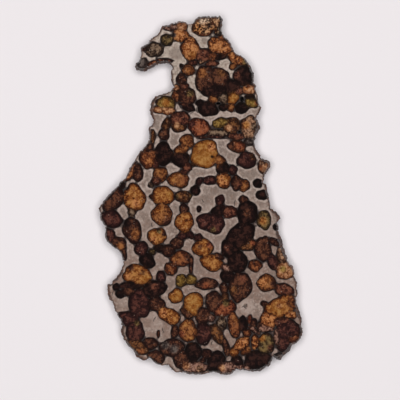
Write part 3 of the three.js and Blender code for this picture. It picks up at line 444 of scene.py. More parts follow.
@dataclass
class Rim:
    """The slice's outline, and how its rough side bulges out from under the polished face.

    Setbacks are the least and the most by which the polished face stops short of the widest
    line, and what lies within reach of its edge bulges out with it. The levels are the heights
    of the rings of corners on the rough side. Each fractal has its dimension, how much finer
    every layer is and how many there are. The lumps fade over one depth under the polished face
    and another over the back, where some of them are left.
    """

    step: float = 0.3
    setbacks: tuple[float, float] = (0.1, 1.3)
    roughness: float = 0.26
    rough_size: float = 0.7
    rough_slice: float = 3.1
    rough_fractal: tuple[float, float, int] = (0.6, 2, 4)
    smoothings: int = 3
    thickness: float = 3.2
    widest: float = 1.5
    roundness: float = 0.8
    back_setback: float = 0.35
    reach: float = 2.4
    lumps: float = 0.2
    lump_size: tuple[float, float] = (0.9, 0.7)
    lump_fractal: tuple[float, float, int] = (0.7, 2, 5)
    lump_fades: tuple[float, float] = (0.4, 0.5)
    back_lumps: float = 0.4
    levels: tuple[float, ...] = (3.08, 2.88, 2.6, 2.25, 1.9, 1.5, 1.1, 0.7, 0.35, 0.12)
    crust_edge: Span = (0.1, 0.6)
    chunk: int = 2000

    def __post_init__(self) -> None:
        """Works out the closely spaced samples of the polished face's edge."""
        low, high = np.min(RIM, axis=0), np.max(RIM, axis=0)
        self.middle = (low[:2] + high[:2]) / 2
        marks = np.array(RIM)
        marks[:, :2] -= self.middle
        samples = []
        for i in range(len(marks)):
            a, b, c, d = (marks[(i + k) % len(marks)] for k in (-1, 0, 1, 2))
            count = max(1, round(np.linalg.norm(c[:2] - b[:2]) / self.step))
            for share in np.arange(count) / count:
                samples.append(self.spline(a, b, c, d, share))
        samples = np.array(samples)
        outer, self.setback = samples[:, :2], np.clip(samples[:, 2], *self.setbacks)
        self.outward = self.normals(outer)
        size = self.rough_size
        rough = np.array([
            self.roughness * noise.fractal((x / size, y / size, self.rough_slice), *self.rough_fractal)
            for x, y in outer])
        self.edge = outer - self.outward * (self.setback - rough)[:, None]

    @staticmethod
    def spline(a: np.ndarray, b: np.ndarray, c: np.ndarray, d: np.ndarray, share: float) -> np.ndarray:
        """A point of a soft curve from b to c, at share of the way.

        Args:
            a: The mark before b.
            b: The mark that the stretch starts at.
            c: The mark that it ends at.
            d: The mark after c.
            share: How far along the stretch, from 0 to 1.

        Returns:
            The point, midway between the straight line and a curve through the marks.
        """
        curve = b + 0.5 * share * (c - a + share * (2 * a - 5 * b + 4 * c - d
                                                     + share * (3 * (b - c) + d - a)))
        return (curve + b + (c - b) * share) / 2

    def normals(self, loop: np.ndarray) -> np.ndarray:
        """Smoothed outward directions along the loop, which runs the other way round in Y.

        Args:
            loop: The outline's samples in order.

        Returns:
            One unit vector a sample.
        """
        along = np.roll(loop, -1, axis=0) - np.roll(loop, 1, axis=0)
        turned = np.stack([along[:, 1], -along[:, 0]], axis=1)
        for _ in range(self.smoothings):
            turned = (np.roll(turned, 1, axis=0) + 2 * turned + np.roll(turned, -1, axis=0)) / 4
        turned /= np.linalg.norm(turned, axis=1)[:, None]
        area = np.sum(loop[:, 0] * np.roll(loop[:, 1], -1) - np.roll(loop[:, 0], -1) * loop[:, 1])
        return turned * np.sign(area)

    def nearest(self, points: np.ndarray) -> tuple[np.ndarray, np.ndarray]:
        """How far each point is from the polished face's edge, and the nearest sample there.

        Args:
            points: Places on the face.

        Returns:
            The distances, and the samples' indices.
        """
        distance = np.empty(len(points))
        index = np.empty(len(points), dtype=int)
        for start in range(0, len(points), self.chunk):
            part = slice(start, start + self.chunk)
            squares = ((points[part, None, :] - self.edge[None]) ** 2).sum(axis=2)
            index[part] = squares.argmin(axis=1)
            distance[part] = np.sqrt(squares.min(axis=1))
        return distance, index

    def holds(self, points: np.ndarray) -> np.ndarray:
        """Which points lie inside the polished face's edge.

        Args:
            points: Places on the face.

        Returns:
            True for each one that is inside.
        """
        a, b = self.edge, np.roll(self.edge, -1, axis=0)
        inside = np.zeros(len(points), dtype=bool)
        for (ax, ay), (bx, by) in zip(a, b):
            if ay == by:
                continue
            spans = (ay > points[:, 1]) != (by > points[:, 1])
            cross = ax + (points[:, 1] - ay) * (bx - ax) / (by - ay)
            inside ^= spans & (points[:, 0] < cross)
        return inside

    def ray_lengths(self, centre: np.ndarray, rays: np.ndarray) -> np.ndarray:
        """How far each ray from a centre runs before it leaves the polished face.

        Args:
            centre: Where the rays start.
            rays: Unit vectors.

        Returns:
            The length of each ray.
        """
        a = self.edge - centre
        span = np.roll(self.edge, -1, axis=0) - self.edge
        across = rays[:, None, 0] * span[None, :, 1] - rays[:, None, 1] * span[None, :, 0]
        across = np.where(np.abs(across) < 1e-12, 1e-12, across)
        length = (a[None, :, 0] * span[None, :, 1] - a[None, :, 1] * span[None, :, 0]) / across
        share = (a[None, :, 0] * rays[:, None, 1] - a[None, :, 1] * rays[:, None, 0]) / across
        hits = (length > 0) & (share >= 0) & (share < 1)
        return np.where(hits, length, np.inf).min(axis=1)

    def bulge(self, setback: np.ndarray, z: float) -> np.ndarray:
        """How far the side stands outside the polished face's edge at a height.

        Args:
            setback: The face's setback from the widest line, for each point.
            z: The height.

        Returns:
            The distance outwards for each point.
        """
        if z >= self.widest:
            share = (self.thickness - z) / (self.thickness - self.widest)
            return setback * math.sin(share * math.pi / 2) ** self.roundness
        share = (self.widest - z) / self.widest
        return setback - self.back_setback * share ** 2

    def place(self, points: np.ndarray, z: float) -> np.ndarray:
        """Where points of the face's pattern lie at a height: those near the rim bulge out.

        Args:
            points: Places on the polished face.
            z: The height.

        Returns:
            The points with their height, three numbers each.
        """
        distance, index = self.nearest(points)
        near = np.clip(1 - distance / self.reach, 0, 1) ** 2
        shift = self.bulge(self.setback[index], z)
        face_fade, back_fade = self.lump_fades
        lumpy = min(1.0, (self.thickness - z) / face_fade)
        lumpy *= self.back_lumps + (1 - self.back_lumps) * min(1.0, z / back_fade)
        if lumpy > 0:
            wide, high = self.lump_size
            shift = shift + lumpy * self.lumps * np.array([
                noise.fractal((x / wide, y / wide, z / high), *self.lump_fractal) if w > 0 else 0.0
                for (x, y), w in zip(points, near)])
        flat = points + self.outward[index] * (shift * near)[:, None]
        return np.column_stack([flat, np.full(len(points), z)])


@dataclass
class Pattern:
    """The crystals' outlines on the face, and where each of them ends at its neighbours.

    Outlines have a corner every facet, within the fewest and the most. They end a contact apart
    from each other and a seam short of the metal, and are searched for in samples along rays
    that run past the crystal's own half-length. A swell is a number of lobes round a crystal
    and their height. Distances over the farthest aren't told apart.
    """

    rim: Rim
    facet: float = 0.3
    fewest: int = 20
    most: int = 84
    seam: float = 0.012
    contact: float = 0.01
    rim_width: float = 0.45
    search: float = 1.35
    samples: int = 140
    farthest: float = 4.0
    touch_rise: Span = (0.02, 0.3)
    past_rim: float = 0.6
    least_reach: float = 0.05
    nearby: float = 1.2
    seed: int = 7
    swells: tuple[tuple[int, float], ...] = (
        (2, 0.02), (3, 0.042), (4, 0.032), (5, 0.026), (7, 0.016), (9, 0.012))

    def __post_init__(self) -> None:
        """Works out each crystal's centre, half-axes and swells."""
        rows = GRAINS + GAPS
        self.centre = np.array([(g.x, g.y) for g in rows]) - self.rim.middle
        self.axes = np.array([(g.long, g.short) for g in rows])
        turn = np.radians([g.turn for g in rows])
        self.turn = np.stack([np.cos(turn), np.sin(turn)], axis=1)
        self.phase = np.random.default_rng(self.seed).uniform(
            0, 2 * math.pi, (len(rows), len(self.swells)))

    def depth(self, number: int, points: np.ndarray) -> np.ndarray:
        """How far points lie outside one crystal's own outline, negative inside it.

        Args:
            number: The crystal's place in the list.
            points: Places on the face.

        Returns:
            Roughly the distance to the outline for each point.
        """
        cos, sin = self.turn[number]
        long, short = self.axes[number]
        dx, dy = (points - self.centre[number]).T
        u, v = (dx * cos + dy * sin) / long, (dy * cos - dx * sin) / short
        radius = np.maximum(np.hypot(u, v), 1e-6)
        angle = np.arctan2(v, u)
        swell = 1 + sum(size * np.cos(lobes * angle + phase)
                        for (lobes, size), phase in zip(self.swells, self.phase[number]))
        slope = np.maximum(np.hypot(u / long, v / short), 1e-6)
        return (radius / swell - 1) * radius * swell / slope

    def outline(self, number: int) -> tuple[np.ndarray, np.ndarray, np.ndarray, np.ndarray]:
        """Walks round a crystal and finds where it ends in each direction.

        Args:
            number: The crystal's place in the list.

        Returns:
            Unit rays from its centre, the crystal's reach along each, the reach of the hole that
            it leaves in the metal, and how much it ends at another crystal, from 0 to 1.
        """
        centre, (long, short) = self.centre[number], self.axes[number]
        count = int(np.clip(math.pi * (long + short) / self.facet, self.fewest, self.most))
        angle = 2 * math.pi * np.arange(count) / count
        rays = np.stack([np.cos(angle), np.sin(angle)], axis=1)
        steps = np.linspace(0, self.search * long, self.samples)
        points = (centre + rays[:, None, :] * steps[None, :, None]).reshape(-1, 2)
        own = self.depth(number, points)
        over = own.copy()
        for other in self.neighbours(number):
            theirs = self.depth(other, points)
            margin = theirs if other >= len(GRAINS) else (theirs - own) / 2
            over = np.maximum(over, self.contact / 2 - margin)
        over = over.reshape(count, -1)
        over[:, 0] = -1
        reach = self.crossing(over, steps)
        free = self.crossing(np.where(steps > 0, own.reshape(count, -1), -1), steps)
        touch = smoothstep(*self.touch_rise, free - reach)
        touch = (np.roll(touch, 1) + 2 * touch + np.roll(touch, -1)) / 4
        edge = self.rim.ray_lengths(centre, rays)
        hole = np.where(reach + self.seam < edge, reach + self.seam, edge + self.past_rim)
        return rays, np.maximum(np.minimum(reach, edge), self.least_reach), hole, touch

    @staticmethod
    def crossing(over: np.ndarray, steps: np.ndarray) -> np.ndarray:
        """The first step along each ray at which a function rises through zero.

        Args:
            over: The function at each step of each ray.
            steps: The steps' distances.

        Returns:
            The distance for each ray.
        """
        outside = over > 0
        first = np.where(outside.any(axis=1), outside.argmax(axis=1), over.shape[1] - 1)
        rows = np.arange(len(over))
        before, after = over[rows, first - 1], over[rows, first]
        share = np.clip(before / (before - after - 1e-9), 0, 1)
        return steps[first - 1] + share * (steps[first] - steps[first - 1])

    def neighbours(self, number: int) -> list[int]:
        """The crystals and gaps near enough to touch this one.

        Args:
            number: The crystal's place in the list.

        Returns:
            Their places in the list.
        """
        apart = np.linalg.norm(self.centre - self.centre[number], axis=1)
        near = apart < self.nearby * (self.axes[:, 0] + self.axes[number, 0])
        return [int(i) for i in np.flatnonzero(near) if i != number]

    def metal_depth(self, points: np.ndarray) -> tuple[np.ndarray, np.ndarray]:
        """How far points lie from the nearest crystal or gap, and how wide the metal is there.

        Args:
            points: Places on the face.

        Returns:
            The distance for each point, and the width between the two nearest bodies.
        """
        first, second = np.full((2, len(points)), self.farthest)
        for number in range(len(self.centre)):
            reach = self.axes[number, 0] + self.farthest
            near = np.flatnonzero((np.abs(points - self.centre[number]) < reach).all(axis=1))
            away = np.clip(self.depth(number, points[near]), 0, self.farthest)
            second[near] = np.minimum(second[near], np.maximum(first[near], away))
            first[near] = np.minimum(first[near], away)
        to_rim = self.rim.nearest(points)[0] + self.rim_width
        return first, first + np.minimum(second, to_rim)


class Sheet:
    """A mesh in the making: corners, faces and what each corner carries for its finish."""

    # The angle in degrees over which an edge stays sharp
    crease = 42

    def __init__(self) -> None:
        """Starts with nothing in it."""
        self.corners: list[np.ndarray] = []
        self.faces: list[list[int]] = []
        self.values: dict[str, list[np.ndarray]] = {}
        self.count = 0

    def add(self, corners: np.ndarray, **values: np.ndarray) -> int:
        """Adds corners.

        Args:
            corners: Their places, three numbers each.
            **values: What they carry, one number or colour each.

        Returns:
            The index of the first of them.
        """
        first = self.count
        self.corners.append(corners)
        self.count += len(corners)
        for name, value in values.items():
            self.values.setdefault(name, []).append(np.asarray(value, dtype=float))
        return first

    def finish(self, name: str, materials: list[bpy.types.Material],
               slots: list[int] | None = None) -> bpy.types.Object:
        """Makes the object.

        Args:
            name: The object's name.
            materials: Its finishes.
            slots: Which finish each face takes, all the first if left out.

        Returns:
            The new object, in the scene.
        """
        mesh = bpy.data.meshes.new(name)
        mesh.from_pydata(np.concatenate(self.corners) * MM, [], self.faces)
        for key, parts in self.values.items():
            value = np.concatenate(parts)
            if value.ndim == 2:
                layer = mesh.attributes.new(key, "FLOAT_COLOR", "POINT")
                opaque = np.column_stack([value, np.ones(len(value))])
                layer.data.foreach_set("color", opaque.ravel())
            else:
                mesh.attributes.new(key, "FLOAT", "POINT").data.foreach_set("value", value)
        for material in materials:
            mesh.materials.append(material)
        mesh.shade_smooth()
        mesh.set_sharp_from_angle(angle=math.radians(self.crease))
        if slots is not None:
            mesh.polygons.foreach_set("material_index", slots)
        mesh.validate()
        return placed(name, mesh)


class Graph:
    """A short way to write a material's nodes."""

    # The Mix node's colour sockets: first colour, second colour and result
    first, second, result = 6, 7, 2

    def __init__(self, name: str) -> None:
        """Starts a material with one surface shader.

        Args:
            name: The material's name.
        """
        self.material = bpy.data.materials.new(name)
        self.material.use_nodes = True
        self.tree = self.material.node_tree
        self.tree.nodes.clear()
        self.shader = self.node("ShaderNodeBsdfPrincipled")
        self.output = self.node("ShaderNodeOutputMaterial")
        self.join(self.shader.outputs["BSDF"], self.output.inputs["Surface"])
        place = self.node("ShaderNodeTexCoord").outputs["Object"]
        self.place = self.vector("SCALE", place, "Scale", 1 / MM)

    def node(self, kind: str, sources: dict[str | int, Source] | None = None,
             **settings: object) -> bpy.types.Node:
        """Adds a node, sets its properties and feeds its sockets.

        Args:
            kind: The node's type.
            sources: What its inputs take.
            **settings: Its properties.

        Returns:
            The node.
        """
        made = self.tree.nodes.new(kind)
        for key, value in settings.items():
            setattr(made, key, value)
        for key, source in (sources or {}).items():
            self.join(source, made.inputs[key])
        return made

    def join(self, source: Source, target: Socket) -> None:
        """Links a socket to another, or sets a plain value on it.

        Args:
            source: A socket, a number or a colour.
            target: The socket that takes it.
        """
        if isinstance(source, Socket):
            self.tree.links.new(source, target)
        else:
            target.default_value = source

    def value(self, name: str) -> Socket:
        """A number that the mesh's corners carry."""
        return self.node("ShaderNodeAttribute", attribute_name=name).outputs["Fac"]

    def colour(self, name: str) -> Socket:
        """A colour that the mesh's corners carry."""
        return self.node("ShaderNodeAttribute", attribute_name=name).outputs["Color"]

    def math(self, operation: str, a: Number, b: Number, clamp: bool = False) -> Socket:
        """One step of arithmetic, with its result kept from 0 to 1 if clamp says so."""
        return self.node("ShaderNodeMath", {0: a, 1: b}, operation=operation, use_clamp=clamp).outputs[0]

    def plus(self, a: Number, b: Number, clamp: bool = False) -> Socket:
        """The sum of two values."""
        return self.math("ADD", a, b, clamp)

    def minus(self, a: Number, b: Number, clamp: bool = False) -> Socket:
        """The first value less the second."""
        return self.math("SUBTRACT", a, b, clamp)

    def times(self, a: Number, b: Number, clamp: bool = False) -> Socket:
        """The product of two values."""
        return self.math("MULTIPLY", a, b, clamp)

    def most(self, a: Number, b: Number) -> Socket:
        """The greater of two values."""
        return self.math("MAXIMUM", a, b)

    def line(self, value: Socket, start: float, slope: float) -> Socket:
        """A start, and slope times the value on top of it."""
        return self.plus(start, self.times(value, slope))

    def swing(self, value: Socket, size: float) -> Socket:
        """A cloud's value turned into a swing about 0, size wide."""
        return self.times(self.minus(value, 0.5), size)

    def rise(self, value: Number, low: float, high: float) -> Socket:
        """A smooth rise of a value: 0 at low, 1 at high, and the other way where low is higher.

        Args:
            value: What rises.
            low: Where it starts.
            high: Where it ends.

        Returns:
            The risen value, from 0 to 1.
        """
        ends = {"From Min": min(low, high), "From Max": max(low, high),
                "To Min": float(low > high), "To Max": float(low <= high)}
        made = self.node("ShaderNodeMapRange", {"Value": value, **ends}, interpolation_type="SMOOTHSTEP")
        return made.outputs["Result"]

    def mix(self, share: Number, a: Tint, b: Tint) -> Socket:
        """Blends two colours.

        Args:
            share: How much of b.
            a: The first colour.
            b: The second colour.

        Returns:
            The blend.
        """
        a, b = (tint if isinstance(tint, Socket) else (*linear(tint), 1) for tint in (a, b))
        sources = {"Factor": share, self.first: a, self.second: b}
        return self.node("ShaderNodeMix", sources, data_type="RGBA").outputs[self.result]

    def noise(self, scale: float, detail: float, rough: float, seed: Number = 0.0,
              warp: float = 0.0) -> Socket:
        """Cloudy noise over the part.

        Args:
            scale: Swells a millimetre.
            detail: How many finer layers.
            rough: How strong they are.
            seed: Turns it into another cloud.
            warp: How much it is bent.

        Returns:
            The cloud's value.
        """
        sources = {"Vector": self.place, "W": seed, "Scale": scale, "Detail": detail,
                   "Roughness": rough, "Distortion": warp}
        return self.node("ShaderNodeTexNoise", sources, noise_dimensions="4D").outputs["Fac"]

    def vector(self, operation: str, a: Socket, other: str | int, b: Source) -> Socket:
        """One step of arithmetic on places, whose second value goes into the other socket."""
        return self.node("ShaderNodeVectorMath", {0: a, other: b}, operation=operation).outputs[0]

    def bent(self, scale: float, amount: float) -> Socket:
        """The part's place, pushed about by noise.

        Args:
            scale: Swells a millimetre.
            amount: How far, in millimetres.

        Returns:
            The bent place.
        """
        made = self.node("ShaderNodeTexNoise", {"Vector": self.place, "Scale": scale},
                         noise_dimensions="3D")
        centred = self.vector("SUBTRACT", made.outputs["Color"], 1, (0.5, 0.5, 0.5))
        return self.vector("ADD", self.place, 1, self.vector("SCALE", centred, "Scale", 2 * amount))

    def cells(self, scale: float, place: Socket, feature: str) -> bpy.types.Node:
        """Cells like crazing or scattered flecks, so many a millimetre."""
        return self.node("ShaderNodeTexVoronoi", {"Vector": place, "Scale": scale}, feature=feature)

    def bump(self, height: Socket, distance: float, strength: Number = 1.0,
             under: Socket | None = None) -> Socket:
        """Relief from a height.

        Args:
            height: The height, 0 to 1.
            distance: What a height of 1 stands for, in millimetres.
            strength: How much of it shows.
            under: Another relief that this one lies on.

        Returns:
            The normal.
        """
        sources = {"Height": height, "Distance": distance * MM, "Strength": strength}
        if under is not None:
            sources["Normal"] = under
        return self.node("ShaderNodeBump", sources).outputs["Normal"]


@dataclass(frozen=True)
class Cloud:
    """Soft-edged stains: cloudy noise cut off between two levels."""

    swells: float
    layers: int
    rough: float
    low: float
    high: float
    seed: float = 0.0
    strength: float = 1.0

    def share(self, g: Graph) -> Socket:
        """How much of the stain there is, from 0 to its strength."""
        cloud = g.noise(self.swells, self.layers, self.rough, self.seed)
        return g.times(g.rise(cloud, self.low, self.high), self.strength)


@dataclass(frozen=True)
class Crust:
    """The rough weathered skin on the slice's side: rust, dark rock, grey dust and pits."""

    rust: Colour = (118, 74, 54)
    rock: Colour = (60, 44, 38)
    dust: Colour = (172, 158, 150)
    rusted: Cloud = Cloud(1.1, 4, 0.65, 0.42, 0.62)
    dusted: Cloud = Cloud(2.6, 4, 0.7, 0.56, 0.7, seed=3.0, strength=0.7)
    pits: Noise = (2.4, 6, 0.75)
    pit_depth: float = 0.5

    def colour(self, g: Graph) -> Socket:
        """The crust's mottled colour."""
        return g.mix(self.dusted.share(g), g.mix(self.rusted.share(g), self.rock, self.rust), self.dust)

    def relief(self, g: Graph, share: Socket, under: Socket) -> Socket:
        """The crust's pits, laid over another relief as far as there is crust."""
        return g.bump(g.noise(*self.pits), self.pit_depth, share, under)


@dataclass(frozen=True)
class Cut:
    """The polished face, the sawn back and the crust, as far as both finishes share them."""

    crust: Crust = Crust()
    dust: Colour = (150, 138, 130)
    dusting: float = 0.2
    dullness: float = 0.35
    marks: float = 1.6
    mark_bend: float = 0.6
    mark_depth: float = 0.03
    polish_depth: float = 0.006

    def relief(self, g: Graph, grit: Socket) -> Socket:
        """The fine relief of both faces, with the saw's marks on the back.

        Args:
            g: The material's nodes.
            grit: Specks of a quarter of a millimetre.

        Returns:
            The normal.
        """
        sources = {"Vector": g.place, "Scale": self.marks, "Distortion": self.mark_bend}
        marks = g.node("ShaderNodeTexWave", sources, wave_type="BANDS", bands_direction="Y")
        polished = g.bump(grit, self.polish_depth)
        return g.bump(marks.outputs["Fac"], self.mark_depth, g.value("sawn"), polished)

    def dress(self, g: Graph, colour: Socket, rough: Socket, grit: Socket, crust: Socket) -> None:
        """Puts a colour and a gloss on the shader, dusty and dull where the slice is only sawn.

        Args:
            g: The material's nodes.
            colour: The polished colour, crust and all.
            rough: The polished roughness.
            grit: Specks of a quarter of a millimetre.
            crust: How much crust there is.
        """
        sawn = g.value("sawn")
        dusty = g.mix(g.times(sawn, self.dusting), colour, self.dust)
        g.join(dusty, g.shader.inputs["Base Color"])
        dull = g.plus(rough, g.times(sawn, self.dullness), clamp=True)
        g.join(dull, g.shader.inputs["Roughness"])
        relief = self.crust.relief(g, crust, self.relief(g, grit))
        g.join(relief, g.shader.inputs["Normal"])


@dataclass(frozen=True)
class Olivine:
    """Polished olivine: mottled, cracked and glinting, and see-through where it is pale.

    The bends push its facets and cracks about: so many swells a millimetre, and how far. A
    swing says how strongly a noise moves something. The glints are painted highlights. The
    painted edge shade is painted shade in a zone inside a crystal's edge, and the outline is the
    dark rim along it; both weaken where it touches another.
    """

    name: str
    absorption: tuple[float, float, float]
    density: float
    gain: float
    cut: Cut = Cut()
    seam: Colour = (17, 9, 7)
    # Painted highlight: the pale colour painted on glinting facets
    painted_glint_colour: Colour = (222, 202, 184)
    ior: float = 1.67
    seed_spread: float = 9.0
    mottling: Noise = (1.15, 4, 0.6)
    warp: float = 0.6
    specks: Noise = (3.8, 3, 0.6)
    clouds: Noise = (0.65, 3, 0.6)
    bends: tuple[float, float] = (1.4, 0.25)
    facets: float = 1.7
    touch_inset: float = 0.5
    # Painted shade: how a crystal darkens towards its edge, over this span and by this line
    painted_shade_rise: Span = (0.0, 1.5)
    painted_shade_line: Line = (0.09, 0.54)
    glitter_light: float = 0.25
    glitters_from: float = 0.2
    shatter: float = 3.0
    cloud_swing: float = 2.4
    mottle_swing: float = 2.6
    grit_swing: float = 2.2
    contrast: Line = (0.4, 1.9)
    body_rise: Span = (0.08, 0.46)
    fleck_rise: Span = (0.58, 0.96)
    clear_rise: Span = (0.2, 0.6)
    # Painted highlights: how many glints there are, how they fade, and how bright they are
    glint_count: float = 1.35
    glint_edge: Span = (0.38, 0.1)
    glint_rise: Span = (0.4, 0.62)
    glint_light: Line = (0.35, 0.65)
    painted_glint_share: float = 0.45
    edge_swing: float = 0.9
    # Painted shade: a wider dark zone inside each crystal's edge, and how strong it is
    painted_edge_shade: Span = (1.1, 0.2)
    painted_edge_shade_share: float = 0.6
    outline: Span = (0.32, 0.04)
    outlined: Line = (0.95, -0.68)
    crust_rise: Span = (0.3, 0.5)
    skin_share: float = 0.45
    skin_rise: Span = (0.4, 0.6)
    gloss: Line = (0.07, 0.12)
    crust_dullness: float = 0.55
    cracks: float = 0.75
    crack_width: float = 0.06
    cracked: Cloud = Cloud(0.5, 2, 0.5, 0.5, 0.6, seed=7.0, strength=0.65)

    def material(self) -> bpy.types.Material:
        """The finish, which reads each crystal's colours from the mesh.

        Returns:
            The material.
        """
        g = Graph(self.name)
        seed = g.times(g.value("seed"), self.seed_spread)
        bent = g.bent(*self.bends)
        mottle, grit = g.noise(*self.mottling, seed, self.warp), g.noise(*self.specks, seed)
        facet = g.cells(self.facets, bent, "F1")
        chance = g.node("ShaderNodeSeparateColor", {"Color": facet.outputs["Color"]})
        depth = self.depth(g, seed, mottle, grit, chance.outputs["Blue"])
        painted_glint = self.painted_glint(g, facet.outputs["Distance"], chance, grit)
        body, fleck, deep = g.colour("body"), g.colour("fleck"), g.colour("deep")
        colour = g.mix(g.rise(depth, *self.body_rise), deep, body)
        colour = g.mix(g.rise(depth, *self.fleck_rise), colour, fleck)
        colour = g.mix(self.crack(g, bent), colour, deep)
        # Painted highlights: glints painted over the crystal in a pale colour
        colour = g.mix(painted_glint, colour, g.mix(self.painted_glint_share, fleck, self.painted_glint_colour))
        wavy = g.plus(g.value("edge"), g.swing(mottle, self.edge_swing))
        alone = g.line(g.value("touch"), *self.outlined)
        # Painted shade inside the crystal's edge, then the dark rim along it; both weaker where crystals
        # touch
        painted_edge_shade = g.times(g.rise(wavy, *self.painted_edge_shade), g.times(alone, self.painted_edge_shade_share))
        outline = g.times(g.rise(wavy, *self.outline), alone)
        colour = g.mix(outline, g.mix(painted_edge_shade, colour, deep), self.seam)
        crust = g.times(g.value("crust"), g.rise(mottle, *self.crust_rise))
        skin = g.mix(self.skin_share, self.cut.crust.colour(g),
                     g.mix(g.rise(grit, *self.skin_rise), deep, body))
        rough = g.line(grit, *self.gloss)
        rough = g.plus(rough, g.times(crust, self.crust_dullness), clamp=True)
        self.cut.dress(g, g.mix(crust, colour, skin), rough, grit, crust)
        clear = g.times(g.value("clarity"), g.minus(1.0, outline))
        clear = g.times(clear, g.minus(1.0, g.most(crust, painted_glint)))
        clear = g.times(clear, g.rise(depth, *self.clear_rise))
        g.join(g.times(clear, self.gain), g.shader.inputs["Transmission Weight"])
        g.shader.inputs["IOR"].default_value = self.ior
        absorbed = {"Color": (*self.absorption, 1), "Density": self.density}
        inside = g.node("ShaderNodeVolumeAbsorption", absorbed)
        g.join(inside.outputs["Volume"], g.output.inputs["Volume"])
        return g.material

    def depth(self, g: Graph, seed: Socket, mottle: Socket, grit: Socket, broken: Socket) -> Socket:
        """How lit a place in a crystal looks: darker near its edge, as painted shade, and in its clouds.

        Args:
            g: The material's nodes.
            seed: The crystal's own number.
            mottle: Clouds under a millimetre.
            grit: Specks of a quarter of a millimetre.
            broken: A number of its own for each facet of a shattered crystal.

        Returns:
            From 0, dark, to 1, pale.
        """
        glitter = g.value("glitter")
        inset = g.plus(g.value("edge"), g.times(g.value("touch"), self.touch_inset))
        # Painted shade: darker near the crystal's edge, less so where it touches another
        lit = g.line(g.rise(inset, *self.painted_shade_rise), *self.painted_shade_line)
        lit = g.plus(lit, g.times(glitter, self.glitter_light))
        shatter = g.times(g.minus(broken, 0.5), g.minus(glitter, self.glitters_from, clamp=True))
        lit = g.plus(lit, g.times(shatter, self.shatter))
        lit = g.plus(lit, g.swing(g.noise(*self.clouds, seed), self.cloud_swing))
        contrast = g.line(glitter, *self.contrast)
        rough = g.plus(g.swing(mottle, self.mottle_swing), g.swing(grit, self.grit_swing))
        return g.plus(lit, g.times(rough, contrast))

    def crack(self, g: Graph, bent: Socket) -> Socket:
        """Fine dark cracks that run through some crystals, read at the bent place."""
        line = g.cells(self.cracks, bent, "DISTANCE_TO_EDGE").outputs["Distance"]
        return g.times(g.rise(line, self.crack_width, 0.0), self.cracked.share(g))

    def painted_glint(self, g: Graph, away: Socket, chance: bpy.types.Node, grit: Socket) -> Socket:
        """Painted highlights: bright glints painted on small facets inside the crystals that glitter.

        Args:
            g: The material's nodes.
            away: The distance from the facet's middle.
            chance: Three numbers of its own for each facet.
            grit: Specks of a quarter of a millimetre.

        Returns:
            How bright a painted glint there is.
        """
        share = g.times(g.minus(g.value("glitter"), self.glitters_from), self.glint_count)
        lucky = g.math("LESS_THAN", chance.outputs["Red"], share)
        bright = g.times(g.rise(away, *self.glint_edge), lucky)
        bright = g.times(bright, g.rise(grit, *self.glint_rise))
        return g.times(bright, g.line(chance.outputs["Green"], *self.glint_light))


